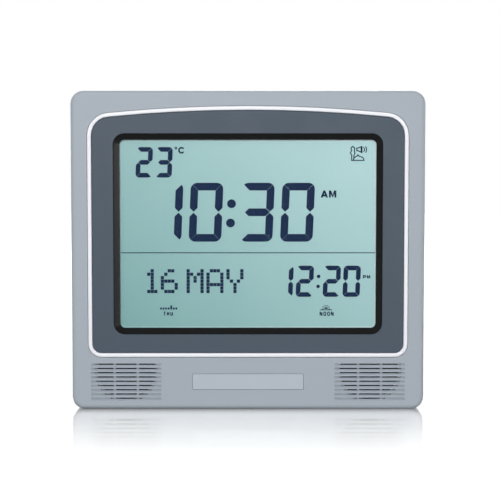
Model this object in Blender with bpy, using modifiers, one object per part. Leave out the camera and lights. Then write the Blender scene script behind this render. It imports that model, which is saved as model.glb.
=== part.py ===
"""Azan clock for a desk or a wall: a moulded case with an LCD, two speakers, rear keys and a fold-out stand.

Metres, +Z up. The front faces -Y, and the origin is at the middle of the underside.
"""

import math

import bmesh
import bpy
from mathutils import Matrix, Vector

# Fits that all pieces share
SEAT_GAP = 0.0003
OVERCUT = 0.0008
MERGE = 0.00001

# Round stretches
CORNER_STEPS = 6
ARCH_STEPS = 8
EDGE_STEPS = 4
TRIM_STEPS = 2
SLOT_STEPS = 2
KEY_STEPS = 3
TURN_STEPS = 20
CELL_STEPS = 16
SMALL_STEPS = 12
SCREW_STEPS = 8
SHARP_EDGE_DEG = 30.0

# Case
CASE_WIDTH = 0.240
CASE_HEIGHT = 0.2165
CASE_DEPTH = 0.039
CASE_TOP_RADIUS = 0.0087
CASE_BOTTOM_RADIUS = 0.0085
FRONT_ROUND = 0.0028
BACK_ROUND = 0.0040
WALL = 0.0024
COVER_DEPTH = 0.0147
LIP = 0.0012
LIP_HEIGHT = 0.0020
TRIM_PROUD = 0.0004

FACE_Y = -CASE_DEPTH / 2 + TRIM_PROUD
BACK_Y = CASE_DEPTH / 2
COVER_Y = BACK_Y - COVER_DEPTH
PARTING_Y = COVER_Y - SEAT_GAP
FRONT_INNER_Y = FACE_Y + WALL
BACK_INNER_Y = BACK_Y - WALL

# Speakers' places, and the band of fascia between the trim and the display
SPEAKER_RADIUS = 0.0227
SPEAKER_RING_WALL = 0.0010
SPEAKER_FLOOR = 0.0035
SPEAKER_HEADROOM = 0.0015
GRILLE_SIDE = 0.03695
FASCIA_SIDE = 0.0176
FASCIA_BELOW = 0.01585
FASCIA_ABOVE = 0.0187

GRILLE_X = CASE_WIDTH / 2 - GRILLE_SIDE
GRILLE_Z = SPEAKER_FLOOR + SPEAKER_RADIUS
SPEAKER_RING_TOP_Z = GRILLE_Z + SPEAKER_RADIUS + SEAT_GAP + SPEAKER_RING_WALL
SURROUND_BOTTOM_Z = SPEAKER_RING_TOP_Z + SPEAKER_HEADROOM

# Arched display area, measured on the outside of the trim
ARCH_SIDE = 0.0114
ARCH_ABOVE = 0.0103
ARCH_RADIUS = 0.970
ARCH_TOP_RADIUS = 0.0153
ARCH_BOTTOM_RADIUS = 0.0088
RECESS_DEPTH = 0.0026
RECESS_FLOOR = 0.0016
RECESS_LEDGE = 0.0060
RECESS_MARGIN = 0.0020

ARCH_HALF_WIDTH = CASE_WIDTH / 2 - ARCH_SIDE
ARCH_SILL_Z = SURROUND_BOTTOM_Z - FASCIA_BELOW
ARCH_CROWN_Z = CASE_HEIGHT - ARCH_ABOVE
RECESS_Y = FACE_Y + RECESS_DEPTH
FLOOR_BACK_Y = RECESS_Y + RECESS_FLOOR
SHELL_WINDOW_BACK_Y = FLOOR_BACK_Y + SEAT_GAP

# Trim, fascia and the frame round the display
TRIM_WIDTH = 0.0025
TRIM_EDGE = 0.0008
FASCIA_SET_BACK = 0.0003
FASCIA_EDGE = 0.0004
SURROUND_RADIUS = 0.0072
SURROUND_BAND = 0.0039
SURROUND_SLOPE = 0.0030
SURROUND_LEAST_RADIUS = 0.0024
SURROUND_FLANGE = 0.0026
SURROUND_FLANGE_THICKNESS = 0.0010

SURROUND_HALF_WIDTH = ARCH_HALF_WIDTH - FASCIA_SIDE
SURROUND_TOP_Z = ARCH_CROWN_Z - FASCIA_ABOVE
TRIM_BACK_Y = RECESS_Y - SEAT_GAP
FASCIA_INSET = TRIM_WIDTH + SEAT_GAP
FASCIA_Y = FACE_Y + FASCIA_SET_BACK
SURROUND_FLANGE_Y = TRIM_BACK_Y + SEAT_GAP
SURROUND_BACK_Y = SURROUND_FLANGE_Y + SURROUND_FLANGE_THICKNESS
LCD_HALF_WIDTH = SURROUND_HALF_WIDTH - SURROUND_BAND
LCD_BOTTOM_Z = SURROUND_BOTTOM_Z + SURROUND_BAND
LCD_TOP_Z = SURROUND_TOP_Z - SURROUND_BAND

# Display stack, front to back
PLATE_MARGIN = 0.0024
LEDGE_DROP = 0.0025
WINDOW_THICKNESS = 0.0010
GLASS_THICKNESS = 0.0011
GUIDE_THICKNESS = 0.0025
FRAME_WALL = 0.0013
ZEBRA_WIDTH = 0.0018
ZEBRA_SHORT = 0.0147
LED_STRIP_WIDTH = 0.0018
BOARD_THICKNESS = 0.0016

FRAME_Y = SURROUND_BACK_Y + SEAT_GAP
WINDOW_BACK_Y = FRAME_Y + WINDOW_THICKNESS
LCD_Y = WINDOW_BACK_Y + SEAT_GAP
LCD_MIDDLE_Y = LCD_Y + GLASS_THICKNESS
LCD_BACK_Y = LCD_MIDDLE_Y + GLASS_THICKNESS
GUIDE_Y = LCD_BACK_Y + SEAT_GAP
GUIDE_BACK_Y = GUIDE_Y + GUIDE_THICKNESS
BOARD_Y = GUIDE_BACK_Y + SEAT_GAP
BOARD_BACK_Y = BOARD_Y + BOARD_THICKNESS
PART_SEAT_Y = BOARD_BACK_Y + SEAT_GAP
PLATE_HALF_WIDTH = LCD_HALF_WIDTH + PLATE_MARGIN
ZEBRA_HALF_LENGTH = PLATE_HALF_WIDTH - ZEBRA_SHORT
PLATE_BOTTOM_Z = LCD_BOTTOM_Z - PLATE_MARGIN - SEAT_GAP
PLATE_TOP_Z = LCD_TOP_Z + PLATE_MARGIN + SEAT_GAP

# Main board, on four bosses of the recess floor, with its parts at shares of its half sizes from the middle
BOARD_BOSS_RADIUS = 0.0030
BOARD_BOSS_SIDE = 0.0028
BOARD_EDGE = 0.0035
BOARD_INSET = 0.0010
BOARD_BOSS_END = 0.0120
BOARD_RADIUS = 0.0020
BLOB_RADIUS = 0.0080
BLOB_HEIGHT = 0.0018
BLOB_PLACE_SHARES = (-0.27, -0.22)
CHIP_RADIUS = 0.0003
MEMORY_LENGTH = 0.0103
MEMORY_WIDTH = 0.0075
MEMORY_HEIGHT = 0.0023
MEMORY_PLACE_SHARES = (0.05, -0.22)
AMPLIFIER_LENGTH = 0.0050
AMPLIFIER_WIDTH = 0.0040
AMPLIFIER_HEIGHT = 0.0016
AMPLIFIER_PLACE_SHARES = (0.46, -0.58)
CRYSTAL_LENGTH = 0.0080
CRYSTAL_RADIUS = 0.0015
CRYSTAL_PLACE_SHARES = (-0.27, -0.44)
CAPACITOR_RADIUS = 0.0040
CAPACITOR_HEIGHT = 0.0100
CAPACITOR_EDGE = 0.0004
CAPACITOR_PLACE_SHARES = (0.59, -0.36)

BOARD_BOSS_X = ARCH_HALF_WIDTH - BOARD_BOSS_SIDE
BOARD_HALF_WIDTH = BOARD_BOSS_X + BOARD_EDGE
BOARD_BOTTOM_Z = SURROUND_BOTTOM_Z + BOARD_INSET
BOARD_TOP_Z = SURROUND_TOP_Z - BOARD_INSET
BOARD_BOSS_LOW_Z = BOARD_BOTTOM_Z + BOARD_BOSS_END
BOARD_BOSS_HIGH_Z = BOARD_TOP_Z - BOARD_BOSS_END

# Speaker grilles: louvres across the field, slots clipped to the cone
GRILLE_RADIUS = 0.0216
GRILLE_WIDTH = 0.0482
GRILLE_ROWS = 9
GRILLE_RISE = 0.0047
GRILLE_PITCH = 0.002925
LOUVRE_ABOVE = 0.0005
LOUVRE_BELOW = 0.0013
LOUVRE_SHALLOW = 0.0003
LOUVRE_DEEP = 0.0012
SLOT_HEIGHT = 0.0010
SLOT_BAR_X = 0.00785
SLOT_BAR_WIDTH = 0.0016
SLOT_LEAST_LENGTH = 0.0005

GRILLE_TOP_Z = GRILLE_Z + GRILLE_RISE

# Speakers
SPEAKER_RIM = 0.0024
SPEAKER_STEEL = 0.0008
SPEAKER_RING_DEPTH = 0.0030
SPEAKER_SEAT_WIDTH = 0.0010
BASKET_LIP = 0.0012
BASKET_DEPTH = 0.0065
BASKET_BACK_RADIUS = 0.0110
BASKET_HOLE_RADIUS = 0.0045
CONE_THICKNESS = 0.0005
CONE_DEPTH = 0.0045
CONE_NECK_RADIUS = 0.0070
CONE_ROLL = 0.0022
CONE_ROLL_HEIGHT = 0.0009
DUST_CAP_RISE = 0.0022
DUST_CAP_SHOULDER_SHARE = 0.78
MAGNET_RADIUS = 0.0110
MAGNET_DEPTH = 0.0060
MAGNET_EDGE = 0.0005

SPEAKER_SEAT_Y = SHELL_WINDOW_BACK_Y + SEAT_GAP
SPEAKER_Y = SPEAKER_SEAT_Y + SEAT_GAP

# Name panel under the display, left bare
PANEL_WIDTH = 0.0760
PANEL_HEIGHT = 0.0111
PANEL_Z = 0.01895
PANEL_RADIUS = 0.0008
PANEL_DEPTH = 0.0010
PANEL_SET_BACK = 0.0001

# Screws
SCREW_SIDE = 0.0105
SCREW_END = 0.0115
SCREW_HEAD_RADIUS = 0.0031
SCREW_HEAD_HEIGHT = 0.0019
SCREW_SHANK_RADIUS = 0.0014
SCREW_LENGTH = 0.0150
SCREW_BOSS_WALL = 0.0023
SCREW_TUBE_WALL = 0.0012
SCREW_SEAT_DEPTH = 0.0075
SMALL_SCREW_HEAD_RADIUS = 0.0024
SMALL_SCREW_HEAD_HEIGHT = 0.0014
SMALL_SCREW_SHANK_RADIUS = 0.0010
SMALL_SCREW_LENGTH = 0.0055
SCREW_CROWN_SHARE = 0.45
PILOT_EXTRA = 0.0010

SCREW_X = CASE_WIDTH / 2 - SCREW_SIDE
SCREW_LOW_Z = SCREW_END
SCREW_HIGH_Z = CASE_HEIGHT - SCREW_END
SCREW_BOSS_RADIUS = SCREW_SHANK_RADIUS + SEAT_GAP + SCREW_BOSS_WALL
SCREW_TUBE_RADIUS = SCREW_HEAD_RADIUS + SEAT_GAP + SCREW_TUBE_WALL
SCREW_SEAT_Y = BACK_Y - SCREW_SEAT_DEPTH
SCREW_BOSS_Y = COVER_Y - LIP_HEIGHT / 2
HEAD_Y = SCREW_SEAT_Y + SEAT_GAP

# Place of the rear key row
KEY_ROW_DROP = 0.0205
KEY_PAN_HALF_HEIGHT = 0.0065

KEY_Z = CASE_HEIGHT - KEY_ROW_DROP

# Battery bay: three AA cells side by side under a hinged door
CELL_RADIUS = 0.0071
CELL_LENGTH = 0.0492
CELL_EDGE = 0.0006
CELL_NUB_RADIUS = 0.0027
CELL_NUB_LENGTH = 0.0012
CELL_SPACE = 0.0010
CELL_COUNT = 3
CELL_END_ROOM = 0.0040
BAY_BELOW_KEYS = 0.0132
BAY_SIDE_GAP = 0.0006
BAY_WALL = 0.0016
CONTACT_THICKNESS = 0.0004
CONTACT_HEIGHT = 0.0110
CONTACT_BUMP_RADIUS = 0.0030
CONTACT_BUMP_HEIGHT = 0.0005
CONTACT_MARGIN = 0.0050
SPRING_WIRE_RADIUS = 0.00035
SPRING_BASE_RADIUS = 0.0046
SPRING_TIP_RADIUS = 0.0024
SPRING_TURNS = 3
SPRING_POINTS_PER_TURN = 8
SPRING_SINK = 0.0002
SPRING_RESOLUTION = 1

DOOR_THICKNESS = 0.0018
DOOR_SET_BACK = 0.0003
DOOR_SIDE_GAP = 0.0003
DOOR_LEDGE = 0.0024
DOOR_RADIUS = 0.0015
DOOR_BARREL_RADIUS = 0.0016
DOOR_BARREL_DROP = 0.0016
DOOR_BARREL_INSET = 0.0004
DOOR_TROUGH_GAP = 0.0004
DOOR_PIN_RADIUS = 0.0009
DOOR_PIN_LENGTH = 0.0016
DOOR_HOUSING_WALL = 0.0030
DOOR_LATCH_HALF_WIDTH = 0.0065
DOOR_LATCH_LENGTH = 0.0090
DOOR_LATCH_SLIT = 0.0008
DOOR_GRIP_RISE = 0.0002
DOOR_GRIP_WIDTH = 0.0010
DOOR_GRIP_PITCH = 0.0020
DOOR_GRIP_COUNT = 3
SOCKET_EXTRA = 0.0004

CELL_PITCH = 2 * CELL_RADIUS + CELL_SPACE
BAY_HALF_LENGTH = CELL_LENGTH / 2 + CELL_END_ROOM
BAY_HALF_HEIGHT = (CELL_COUNT - 1) * CELL_PITCH / 2 + CELL_RADIUS + BAY_SIDE_GAP
POCKET_TOP_Z = KEY_Z - KEY_PAN_HALF_HEIGHT - BAY_BELOW_KEYS
BAY_Z = POCKET_TOP_Z - DOOR_LEDGE - BAY_HALF_HEIGHT
DOOR_BACK_Y = BACK_Y - DOOR_SET_BACK
DOOR_FRONT_Y = DOOR_BACK_Y - DOOR_THICKNESS
CELL_Y = DOOR_FRONT_Y - BAY_SIDE_GAP - CELL_RADIUS
BAY_FLOOR_Y = CELL_Y - CELL_RADIUS - SEAT_GAP
POCKET_FLOOR_Y = DOOR_FRONT_Y - SEAT_GAP
POCKET_HALF_WIDTH = BAY_HALF_LENGTH + DOOR_LEDGE
DOOR_AXIS_Z = BAY_Z - BAY_HALF_HEIGHT - DOOR_BARREL_RADIUS - DOOR_BARREL_DROP
DOOR_AXIS_Y = DOOR_BACK_Y - DOOR_BARREL_RADIUS - DOOR_SET_BACK / 2
POCKET_BOTTOM_Z = DOOR_AXIS_Z - DOOR_BARREL_RADIUS - DOOR_TROUGH_GAP
HOUSING_HALF_WIDTH = POCKET_HALF_WIDTH + DOOR_HOUSING_WALL
RIM_FRONT_Y = DOOR_AXIS_Y - DOOR_BARREL_RADIUS - DOOR_TROUGH_GAP - BAY_WALL

# Fold-out stand
LEG_BELOW_DOOR = 0.0109
LEG_FOOT_Z = 0.0015
LEG_HALF_WIDTH = 0.0250
LEG_TAPER = 0.0040
LEG_FOOT_RADIUS = 0.0060
LEG_THICKNESS = 0.0024
LEG_SET_BACK = 0.0006
LEG_BARREL_RADIUS = 0.0025
LEG_BARREL_FLUSH = 0.0001
LEG_BARREL_INSET = 0.0005
LEG_PIN_RADIUS = 0.0015
LEG_PIN_LENGTH = 0.0023
LEG_SIDE_GAP = 0.0005
LEG_RIB_HEIGHT = 0.0020
LEG_RIB_WIDTH = 0.0016
LEG_RIB_SIDE = 0.0045
LEG_RIB_OVERLAP = 0.0006
LEG_CROSS_RIB_COUNT = 3
LEG_FLOOR_GAP = 0.0030
LEG_HEEL_FACE = 0.0012
LEG_HEEL_THICKNESS = 0.0016
LEG_HEEL_SIDE = 0.0050
LEG_GRIP_COUNT = 3
LEG_GRIP_PITCH = 0.0030
LEG_GRIP_WIDTH = 0.0012
LEG_GRIP_RISE = 0.0003
LEG_GRIP_HALF_WIDTH = 0.0100
LEG_GRIP_Z = 0.0080
LEG_OPEN_DEG = 30.0
LEG_HOUSING_WALL = 0.0036
HOUSING_WALL = 0.0016
HOUSING_OVERLAP = 0.0002

LEG_HINGE_Z = POCKET_BOTTOM_Z - LEG_BELOW_DOOR
LEG_FOOT_HALF_WIDTH = LEG_HALF_WIDTH - LEG_TAPER
LEG_RIB_X = LEG_FOOT_HALF_WIDTH - LEG_RIB_SIDE
LEG_HEEL_HALF_WIDTH = LEG_HALF_WIDTH - LEG_HEEL_SIDE
LEG_BACK_Y = BACK_Y - LEG_SET_BACK
LEG_AXIS_Y = LEG_BACK_Y - LEG_BARREL_FLUSH - LEG_BARREL_RADIUS
LEG_FLOOR_Y = LEG_AXIS_Y - LEG_FLOOR_GAP
LEG_HEEL_HEIGHT = (
    LEG_FLOOR_GAP - SEAT_GAP - LEG_HEEL_FACE * math.cos(math.radians(LEG_OPEN_DEG))
) / math.sin(math.radians(LEG_OPEN_DEG))
LEG_RECESS_TOP_Z = LEG_HINGE_Z + math.hypot(LEG_HEEL_HEIGHT, LEG_HEEL_FACE) + LEG_SIDE_GAP

# Rear keys, slide switch and their board
KEY_PAN_END = 0.0120
KEY_PAN_RADIUS = 0.0030
KEY_PAN_DEPTH = 0.0019
KEY_PAN_FLOOR = 0.0020
KEY_PAN_MARGIN = 0.0060
KEY_PITCH = 0.0160
KEY_HALF_LENGTH = 0.0047
KEY_HALF_HEIGHT = 0.0027
KEY_FLAT = 0.0002
KEY_CROWN = 0.0005
KEY_SET_BACK = 0.0003
KEY_FLANGE = 0.0010
KEY_FLANGE_THICKNESS = 0.0010
KEY_STEM_INSET = 0.0014
KEY_STEM_LENGTH = 0.0021
KEY_TRAVEL = 0.0006
KEY_OVERTRAVEL = 0.0002
TACT_HALF_SIZE = 0.0030
TACT_BODY_HEIGHT = 0.0035
TACT_RADIUS = 0.0003
TACT_BUTTON_RADIUS = 0.0017
TACT_BUTTON_HEIGHT = 0.0008
KEY_BOARD_HALF_HEIGHT = 0.0060
KEY_POST_END = 0.0035
KEY_POST_RADIUS = 0.0026
KNOB_TRAVEL = 0.0040
KNOB_HALF_LENGTH = 0.0025
KNOB_HALF_HEIGHT = 0.0027
KNOB_RADIUS = 0.0005
KNOB_EDGE = 0.0004
KNOB_STEM_HALF_LENGTH = 0.0010
KNOB_STEM_HALF_HEIGHT = 0.0011
KNOB_SLOT_GAP = 0.0004
SWITCH_HALF_LENGTH = 0.0055
SWITCH_HALF_HEIGHT = 0.0028

KEY_NAMES = ("set_key", "mode_key", "up_key", "down_key", "light_key")
KEY_RADIUS = KEY_HALF_HEIGHT - KEY_FLAT
KNOB_X = len(KEY_NAMES) * KEY_PITCH / 2
KEY_FIRST_X = -KNOB_X
KEY_PAN_HALF_WIDTH = KNOB_X + KEY_PAN_END
KEY_BOARD_HALF_WIDTH = KEY_PAN_HALF_WIDTH + KEY_PAN_MARGIN
KEY_POST_X = KEY_BOARD_HALF_WIDTH - KEY_POST_END
KEY_PAN_Y = BACK_Y - KEY_PAN_DEPTH
KEY_PAN_BACK_Y = KEY_PAN_Y - KEY_PAN_FLOOR
KEY_TOP_Y = BACK_Y - KEY_SET_BACK
KEY_FLANGE_Y = KEY_PAN_BACK_Y - SEAT_GAP
KEY_TIP_Y = KEY_FLANGE_Y - KEY_FLANGE_THICKNESS - KEY_STEM_LENGTH
TACT_TOP_Y = KEY_TIP_Y - KEY_TRAVEL - KEY_OVERTRAVEL
TACT_Y = TACT_TOP_Y - TACT_BUTTON_HEIGHT - TACT_BODY_HEIGHT
KEY_BOARD_BACK_Y = TACT_Y - SEAT_GAP
KEY_BOARD_Y = KEY_BOARD_BACK_Y - BOARD_THICKNESS

# Ribbon between the two boards
RIBBON_HALF_WIDTH = 0.0070
RIBBON_FROM_POST = 0.0105
RIBBON_THICKNESS = 0.0006
RIBBON_BOARD_EDGE = 0.0045
RIBBON_KEY_DROP = 0.0025
RIBBON_STEPS = 8

RIBBON_X = RIBBON_FROM_POST - KEY_POST_X
RIBBON_LOW_Z = BOARD_TOP_Z - RIBBON_BOARD_EDGE
RIBBON_HIGH_Z = KEY_Z - RIBBON_KEY_DROP

# Back of the cover: sound vents and wall keyholes
VENT_SIDE = 0.0480
VENT_Z = 0.0180
VENT_HALF_LENGTH = 0.0170
VENT_HEIGHT = 0.0018
VENT_PITCH = 0.0042
VENT_COUNT = 6
KEYHOLE_SIDE = 0.0400
KEYHOLE_DROP = 0.0365
KEYHOLE_RADIUS = 0.0047
KEYHOLE_SLOT_RADIUS = 0.0025
KEYHOLE_RISE = 0.0085

VENT_X = CASE_WIDTH / 2 - VENT_SIDE
KEYHOLE_X = CASE_WIDTH / 2 - KEYHOLE_SIDE
KEYHOLE_Z = CASE_HEIGHT - KEYHOLE_DROP

SILVER = ((0.40, 0.44, 0.48), 0.42, 0.35)
SLATE = ((0.090, 0.112, 0.142), 0.45, 0.0)
TRIM_WHITE = ((0.86, 0.87, 0.93), 0.25, 0.0)
BLACK_GLOSS = ((0.020, 0.020, 0.022), 0.22, 0.0)
CLEAR = ((0.90, 0.95, 0.95), 0.05, 0.0)
LCD_GREEN = ((0.33, 0.55, 0.53), 0.30, 0.0)
WHITE_PLASTIC = ((0.80, 0.80, 0.78), 0.50, 0.0)
RUBBER_PINK = ((0.60, 0.35, 0.33), 0.80, 0.0)
BOARD_GREEN = ((0.03, 0.18, 0.08), 0.45, 0.0)
CHIP_BLACK = ((0.02, 0.02, 0.02), 0.55, 0.0)
STEEL = ((0.60, 0.60, 0.60), 0.30, 1.0)
CONE_BLACK = ((0.015, 0.015, 0.017), 0.90, 0.0)
FERRITE = ((0.05, 0.05, 0.055), 0.60, 0.0)
CELL_SLEEVE = ((0.05, 0.10, 0.22), 0.35, 0.2)
KEY_GREY = ((0.13, 0.14, 0.16), 0.60, 0.0)
RIBBON_GREY = ((0.45, 0.46, 0.48), 0.55, 0.0)


def clear_scene():
    """Removes what a new scene holds."""
    for obj in list(bpy.data.objects):
        bpy.data.objects.remove(obj, do_unlink=True)


clear_scene()
CLOCK = bpy.data.collections.new("azan_clock")
CUTTERS = bpy.data.collections.new("azan_clock_cutters")
for group in (CLOCK, CUTTERS):
    bpy.context.scene.collection.children.link(group)
ROOT = bpy.data.objects.new("azan_clock_root", None)
CLOCK.objects.link(ROOT)


def material(name, look):
    """A plain material of one colour, roughness and metallic value."""
    colour, roughness, metallic = look
    made = bpy.data.materials.new(name)
    made.use_nodes = True
    shader = made.node_tree.nodes["Principled BSDF"]
    shader.inputs["Base Color"].default_value = (*colour, 1)
    shader.inputs["Roughness"].default_value = roughness
    shader.inputs["Metallic"].default_value = metallic
    return made


def piece(name, shape, look, location=(0, 0, 0)):
    """A named piece in the clock's collection, from a bmesh or from a mesh that it shares."""
    if isinstance(shape, bmesh.types.BMesh):
        mesh = finished_mesh(name, shape)
    else:
        mesh = shape
    obj = bpy.data.objects.new(name, mesh)
    obj.location = location
    obj.parent = ROOT
    CLOCK.objects.link(obj)
    if not mesh.materials:
        mesh.materials.append(material(name, look))
    return obj


def finished_mesh(name, bm):
    """The bmesh as a mesh with its faces pointing out."""
    bmesh.ops.recalc_face_normals(bm, faces=bm.faces)
    mesh = bpy.data.meshes.new(name)
    bm.to_mesh(mesh)
    bm.free()
    return mesh


def cutter(name, bm, location=(0, 0, 0)):
    """A shape that cuts or joins a piece, shown as wire and left out of the render."""
    obj = bpy.data.objects.new(name, finished_mesh(name, bm))
    obj.location = location
    obj.display_type = "WIRE"
    obj.hide_render = True
    CUTTERS.objects.link(obj)
    return obj


def boolean(target, operation, tool):
    """Adds an exact Boolean of the tool to the target."""
    step = target.modifiers.new(tool.name, "BOOLEAN")
    step.operation = operation
    step.solver = "EXACT"
    step.object = tool


def cut(target, bm, name, location=(0, 0, 0)):
    """Cuts the bmesh's closed shapes out of the target."""
    boolean(target, "DIFFERENCE", cutter(name, bm, location))


def join(target, bm, name, location=(0, 0, 0)):
    """Joins the bmesh's closed shapes to the target."""
    boolean(target, "UNION", cutter(name, bm, location))


def arc(centre_x, centre_z, radius, start, end, steps):
    """Points of an arc in the XZ plane, angles in degrees from +X towards +Z, both ends kept."""
    angles = [math.radians(start + (end - start) * i / steps) for i in range(steps + 1)]
    return [(centre_x + radius * math.cos(a), centre_z + radius * math.sin(a)) for a in angles]


def rounded(left, right, bottom, top, low_radius, high_radius=None, steps=CORNER_STEPS):
    """A rectangle with round corners, as points."""
    high = low_radius if high_radius is None else high_radius
    points = (
        arc(right - low_radius, bottom + low_radius, low_radius, -90, 0, steps)
        + arc(right - high, top - high, high, 0, 90, steps)
        + arc(left + high, top - high, high, 90, 180, steps)
        + arc(left + low_radius, bottom + low_radius, low_radius, 180, 270, steps)
    )
    return [point for i, point in enumerate(points) if math.dist(point, points[i - 1]) > MERGE]


def case_outline(inset):
    """The case seen from the front, moved in by inset."""
    return rounded(
        -CASE_WIDTH / 2 + inset,
        CASE_WIDTH / 2 - inset,
        inset,
        CASE_HEIGHT - inset,
        CASE_BOTTOM_RADIUS - inset,
        CASE_TOP_RADIUS - inset,
    )


def arched_outline(inset):
    """The display area seen from the front: straight sides and sill under a flat arch, moved in by inset."""
    half_width = ARCH_HALF_WIDTH - inset
    crown_radius = ARCH_RADIUS - inset
    top_radius = ARCH_TOP_RADIUS - inset
    low_radius = ARCH_BOTTOM_RADIUS - inset
    sill = ARCH_SILL_Z + inset
    crown_centre = ARCH_CROWN_Z - ARCH_RADIUS
    corner_x = half_width - top_radius
    corner_z = crown_centre + math.sqrt((crown_radius - top_radius) ** 2 - corner_x**2)
    lean = math.degrees(math.atan2(corner_z - crown_centre, corner_x))
    return (
        arc(half_width - low_radius, sill + low_radius, low_radius, -90, 0, CORNER_STEPS)
        + arc(corner_x, corner_z, top_radius, 0, lean, CORNER_STEPS)
        + arc(0, crown_centre, crown_radius, lean, 180 - lean, ARCH_STEPS)[1:-1]
        + arc(-corner_x, corner_z, top_radius, 180 - lean, 180, CORNER_STEPS)
        + arc(-half_width + low_radius, sill + low_radius, low_radius, 180, 270, CORNER_STEPS)
    )


def surround_outline(inset):
    """The frame round the display seen from the front, moved in by inset."""
    return rounded(
        -SURROUND_HALF_WIDTH + inset,
        SURROUND_HALF_WIDTH - inset,
        SURROUND_BOTTOM_Z + inset,
        SURROUND_TOP_Z - inset,
        max(SURROUND_RADIUS - inset, SURROUND_LEAST_RADIUS),
    )


def plate_outline(grow, drop=0):
    """A square-cornered plate of the display stack, grown on all sides and drawn in above and below by drop."""
    half = PLATE_HALF_WIDTH + grow
    low = PLATE_BOTTOM_Z - grow + drop
    high = PLATE_TOP_Z + grow - drop
    return [(half, low), (half, high), (-half, high), (-half, low)]


def at(outline, y):
    """An outline of the XZ plane as a ring of points at one y."""
    return [(x, y, z) for x, z in outline]


def add_loft(bm, rings, closed=False):
    """Skins rings of equally many points; an open loft has flat ends, a closed one joins last to first."""
    loops = [[bm.verts.new(point) for point in ring] for ring in rings]
    pairs = list(zip(loops, loops[1:]))
    if closed:
        pairs.append((loops[-1], loops[0]))
    for near, far in pairs:
        for i in range(len(near)):
            bm.faces.new((near[i - 1], near[i], far[i], far[i - 1]))
    if not closed:
        bm.faces.new(loops[0])
        bm.faces.new(loops[-1])


def add_prism(bm, outline, y_front, y_back):
    """An outline of the XZ plane made solid from y_front to y_back."""
    add_loft(bm, [at(outline, y_front), at(outline, y_back)])


def add_box(bm, low, high):
    """A box between two corners."""
    low, high = Vector(low), Vector(high)
    place = Matrix.Translation((low + high) / 2) @ Matrix.Diagonal((*(high - low), 1))
    bmesh.ops.create_cube(bm, size=1, matrix=place)


def add_rod(bm, start, end, radius, sides=SMALL_STEPS):
    """A straight rod between two points."""
    start, end = Vector(start), Vector(end)
    run = end - start
    turn = Vector((0, 0, 1)).rotation_difference(run).to_matrix().to_4x4()
    place = Matrix.Translation((start + end) / 2) @ turn
    bmesh.ops.create_cone(
        bm, cap_ends=True, segments=sides, radius1=radius, radius2=radius, depth=run.length, matrix=place
    )


def turned_mesh(name, profile, look, closed=False):
    """A half profile of (radius, height) points for a Screw modifier; a closed one stays clear of the axis."""
    mesh = bpy.data.meshes.new(name)
    bm = bmesh.new()
    verts = [bm.verts.new((radius, 0, height)) for radius, height in profile]
    for a, b in zip(verts, verts[1:]):
        bm.edges.new((a, b))
    if closed:
        bm.edges.new((verts[-1], verts[0]))
    bm.to_mesh(mesh)
    bm.free()
    mesh.materials.append(material(name, look))
    return mesh


def turned(name, mesh, location, towards, steps):
    """A piece turned from a profile mesh, with the profile's height pointing towards a direction."""
    obj = piece(name, mesh, None, location)
    obj.rotation_euler = Vector((0, 0, 1)).rotation_difference(Vector(towards)).to_euler()
    screw = obj.modifiers.new("turn", "SCREW")
    screw.axis = "Z"
    screw.steps = steps
    screw.render_steps = steps
    screw.use_merge_vertices = True
    screw.merge_threshold = MERGE
    screw.use_smooth_shade = True
    return obj


def edge_round(radius, y_edge, sense, steps=EDGE_STEPS):
    """Insets and places of a quarter round that starts on the face at y_edge and runs in the sense given."""
    angles = [math.radians(90 * i / steps) for i in range(steps + 1)]
    return [(radius * (1 - math.sin(a)), y_edge + sense * radius * (1 - math.cos(a))) for a in angles]


def corners(x, low_z, high_z):
    """Four places, low pair first."""
    return [(-x, low_z), (x, low_z), (-x, high_z), (x, high_z)]


def grille_rows():
    """Each grille row's height, with the slot spans measured from the grille's middle."""
    rows = []
    for i in range(GRILLE_ROWS):
        z = GRILLE_TOP_Z - i * GRILLE_PITCH
        reach = math.sqrt(max(GRILLE_RADIUS**2 - (z - GRILLE_Z) ** 2, 0))
        inner = SLOT_BAR_X - SLOT_BAR_WIDTH / 2
        outer = SLOT_BAR_X + SLOT_BAR_WIDTH / 2
        spans = [(-min(inner, reach), min(inner, reach))]
        if reach - outer > SLOT_LEAST_LENGTH:
            spans += [(-reach, -outer), (outer, reach)]
        rows.append((z, spans))
    return rows


def add_louvre(bm, middle_x, z):
    """A stadium groove whose floor slopes from shallow at the slot above to deep at the lip below."""
    low, high = z - LOUVRE_BELOW, z + LOUVRE_ABOVE
    left, right = middle_x - GRILLE_WIDTH / 2, middle_x + GRILLE_WIDTH / 2
    outline = rounded(left, right, low, high, (high - low) / 2, steps=SLOT_STEPS)
    slope = (LOUVRE_DEEP - LOUVRE_SHALLOW) / (high - low)
    floor = [(x, FACE_Y + LOUVRE_SHALLOW + slope * (high - height), height) for x, height in outline]
    add_loft(bm, [at(outline, FACE_Y - OVERCUT), floor])


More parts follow.
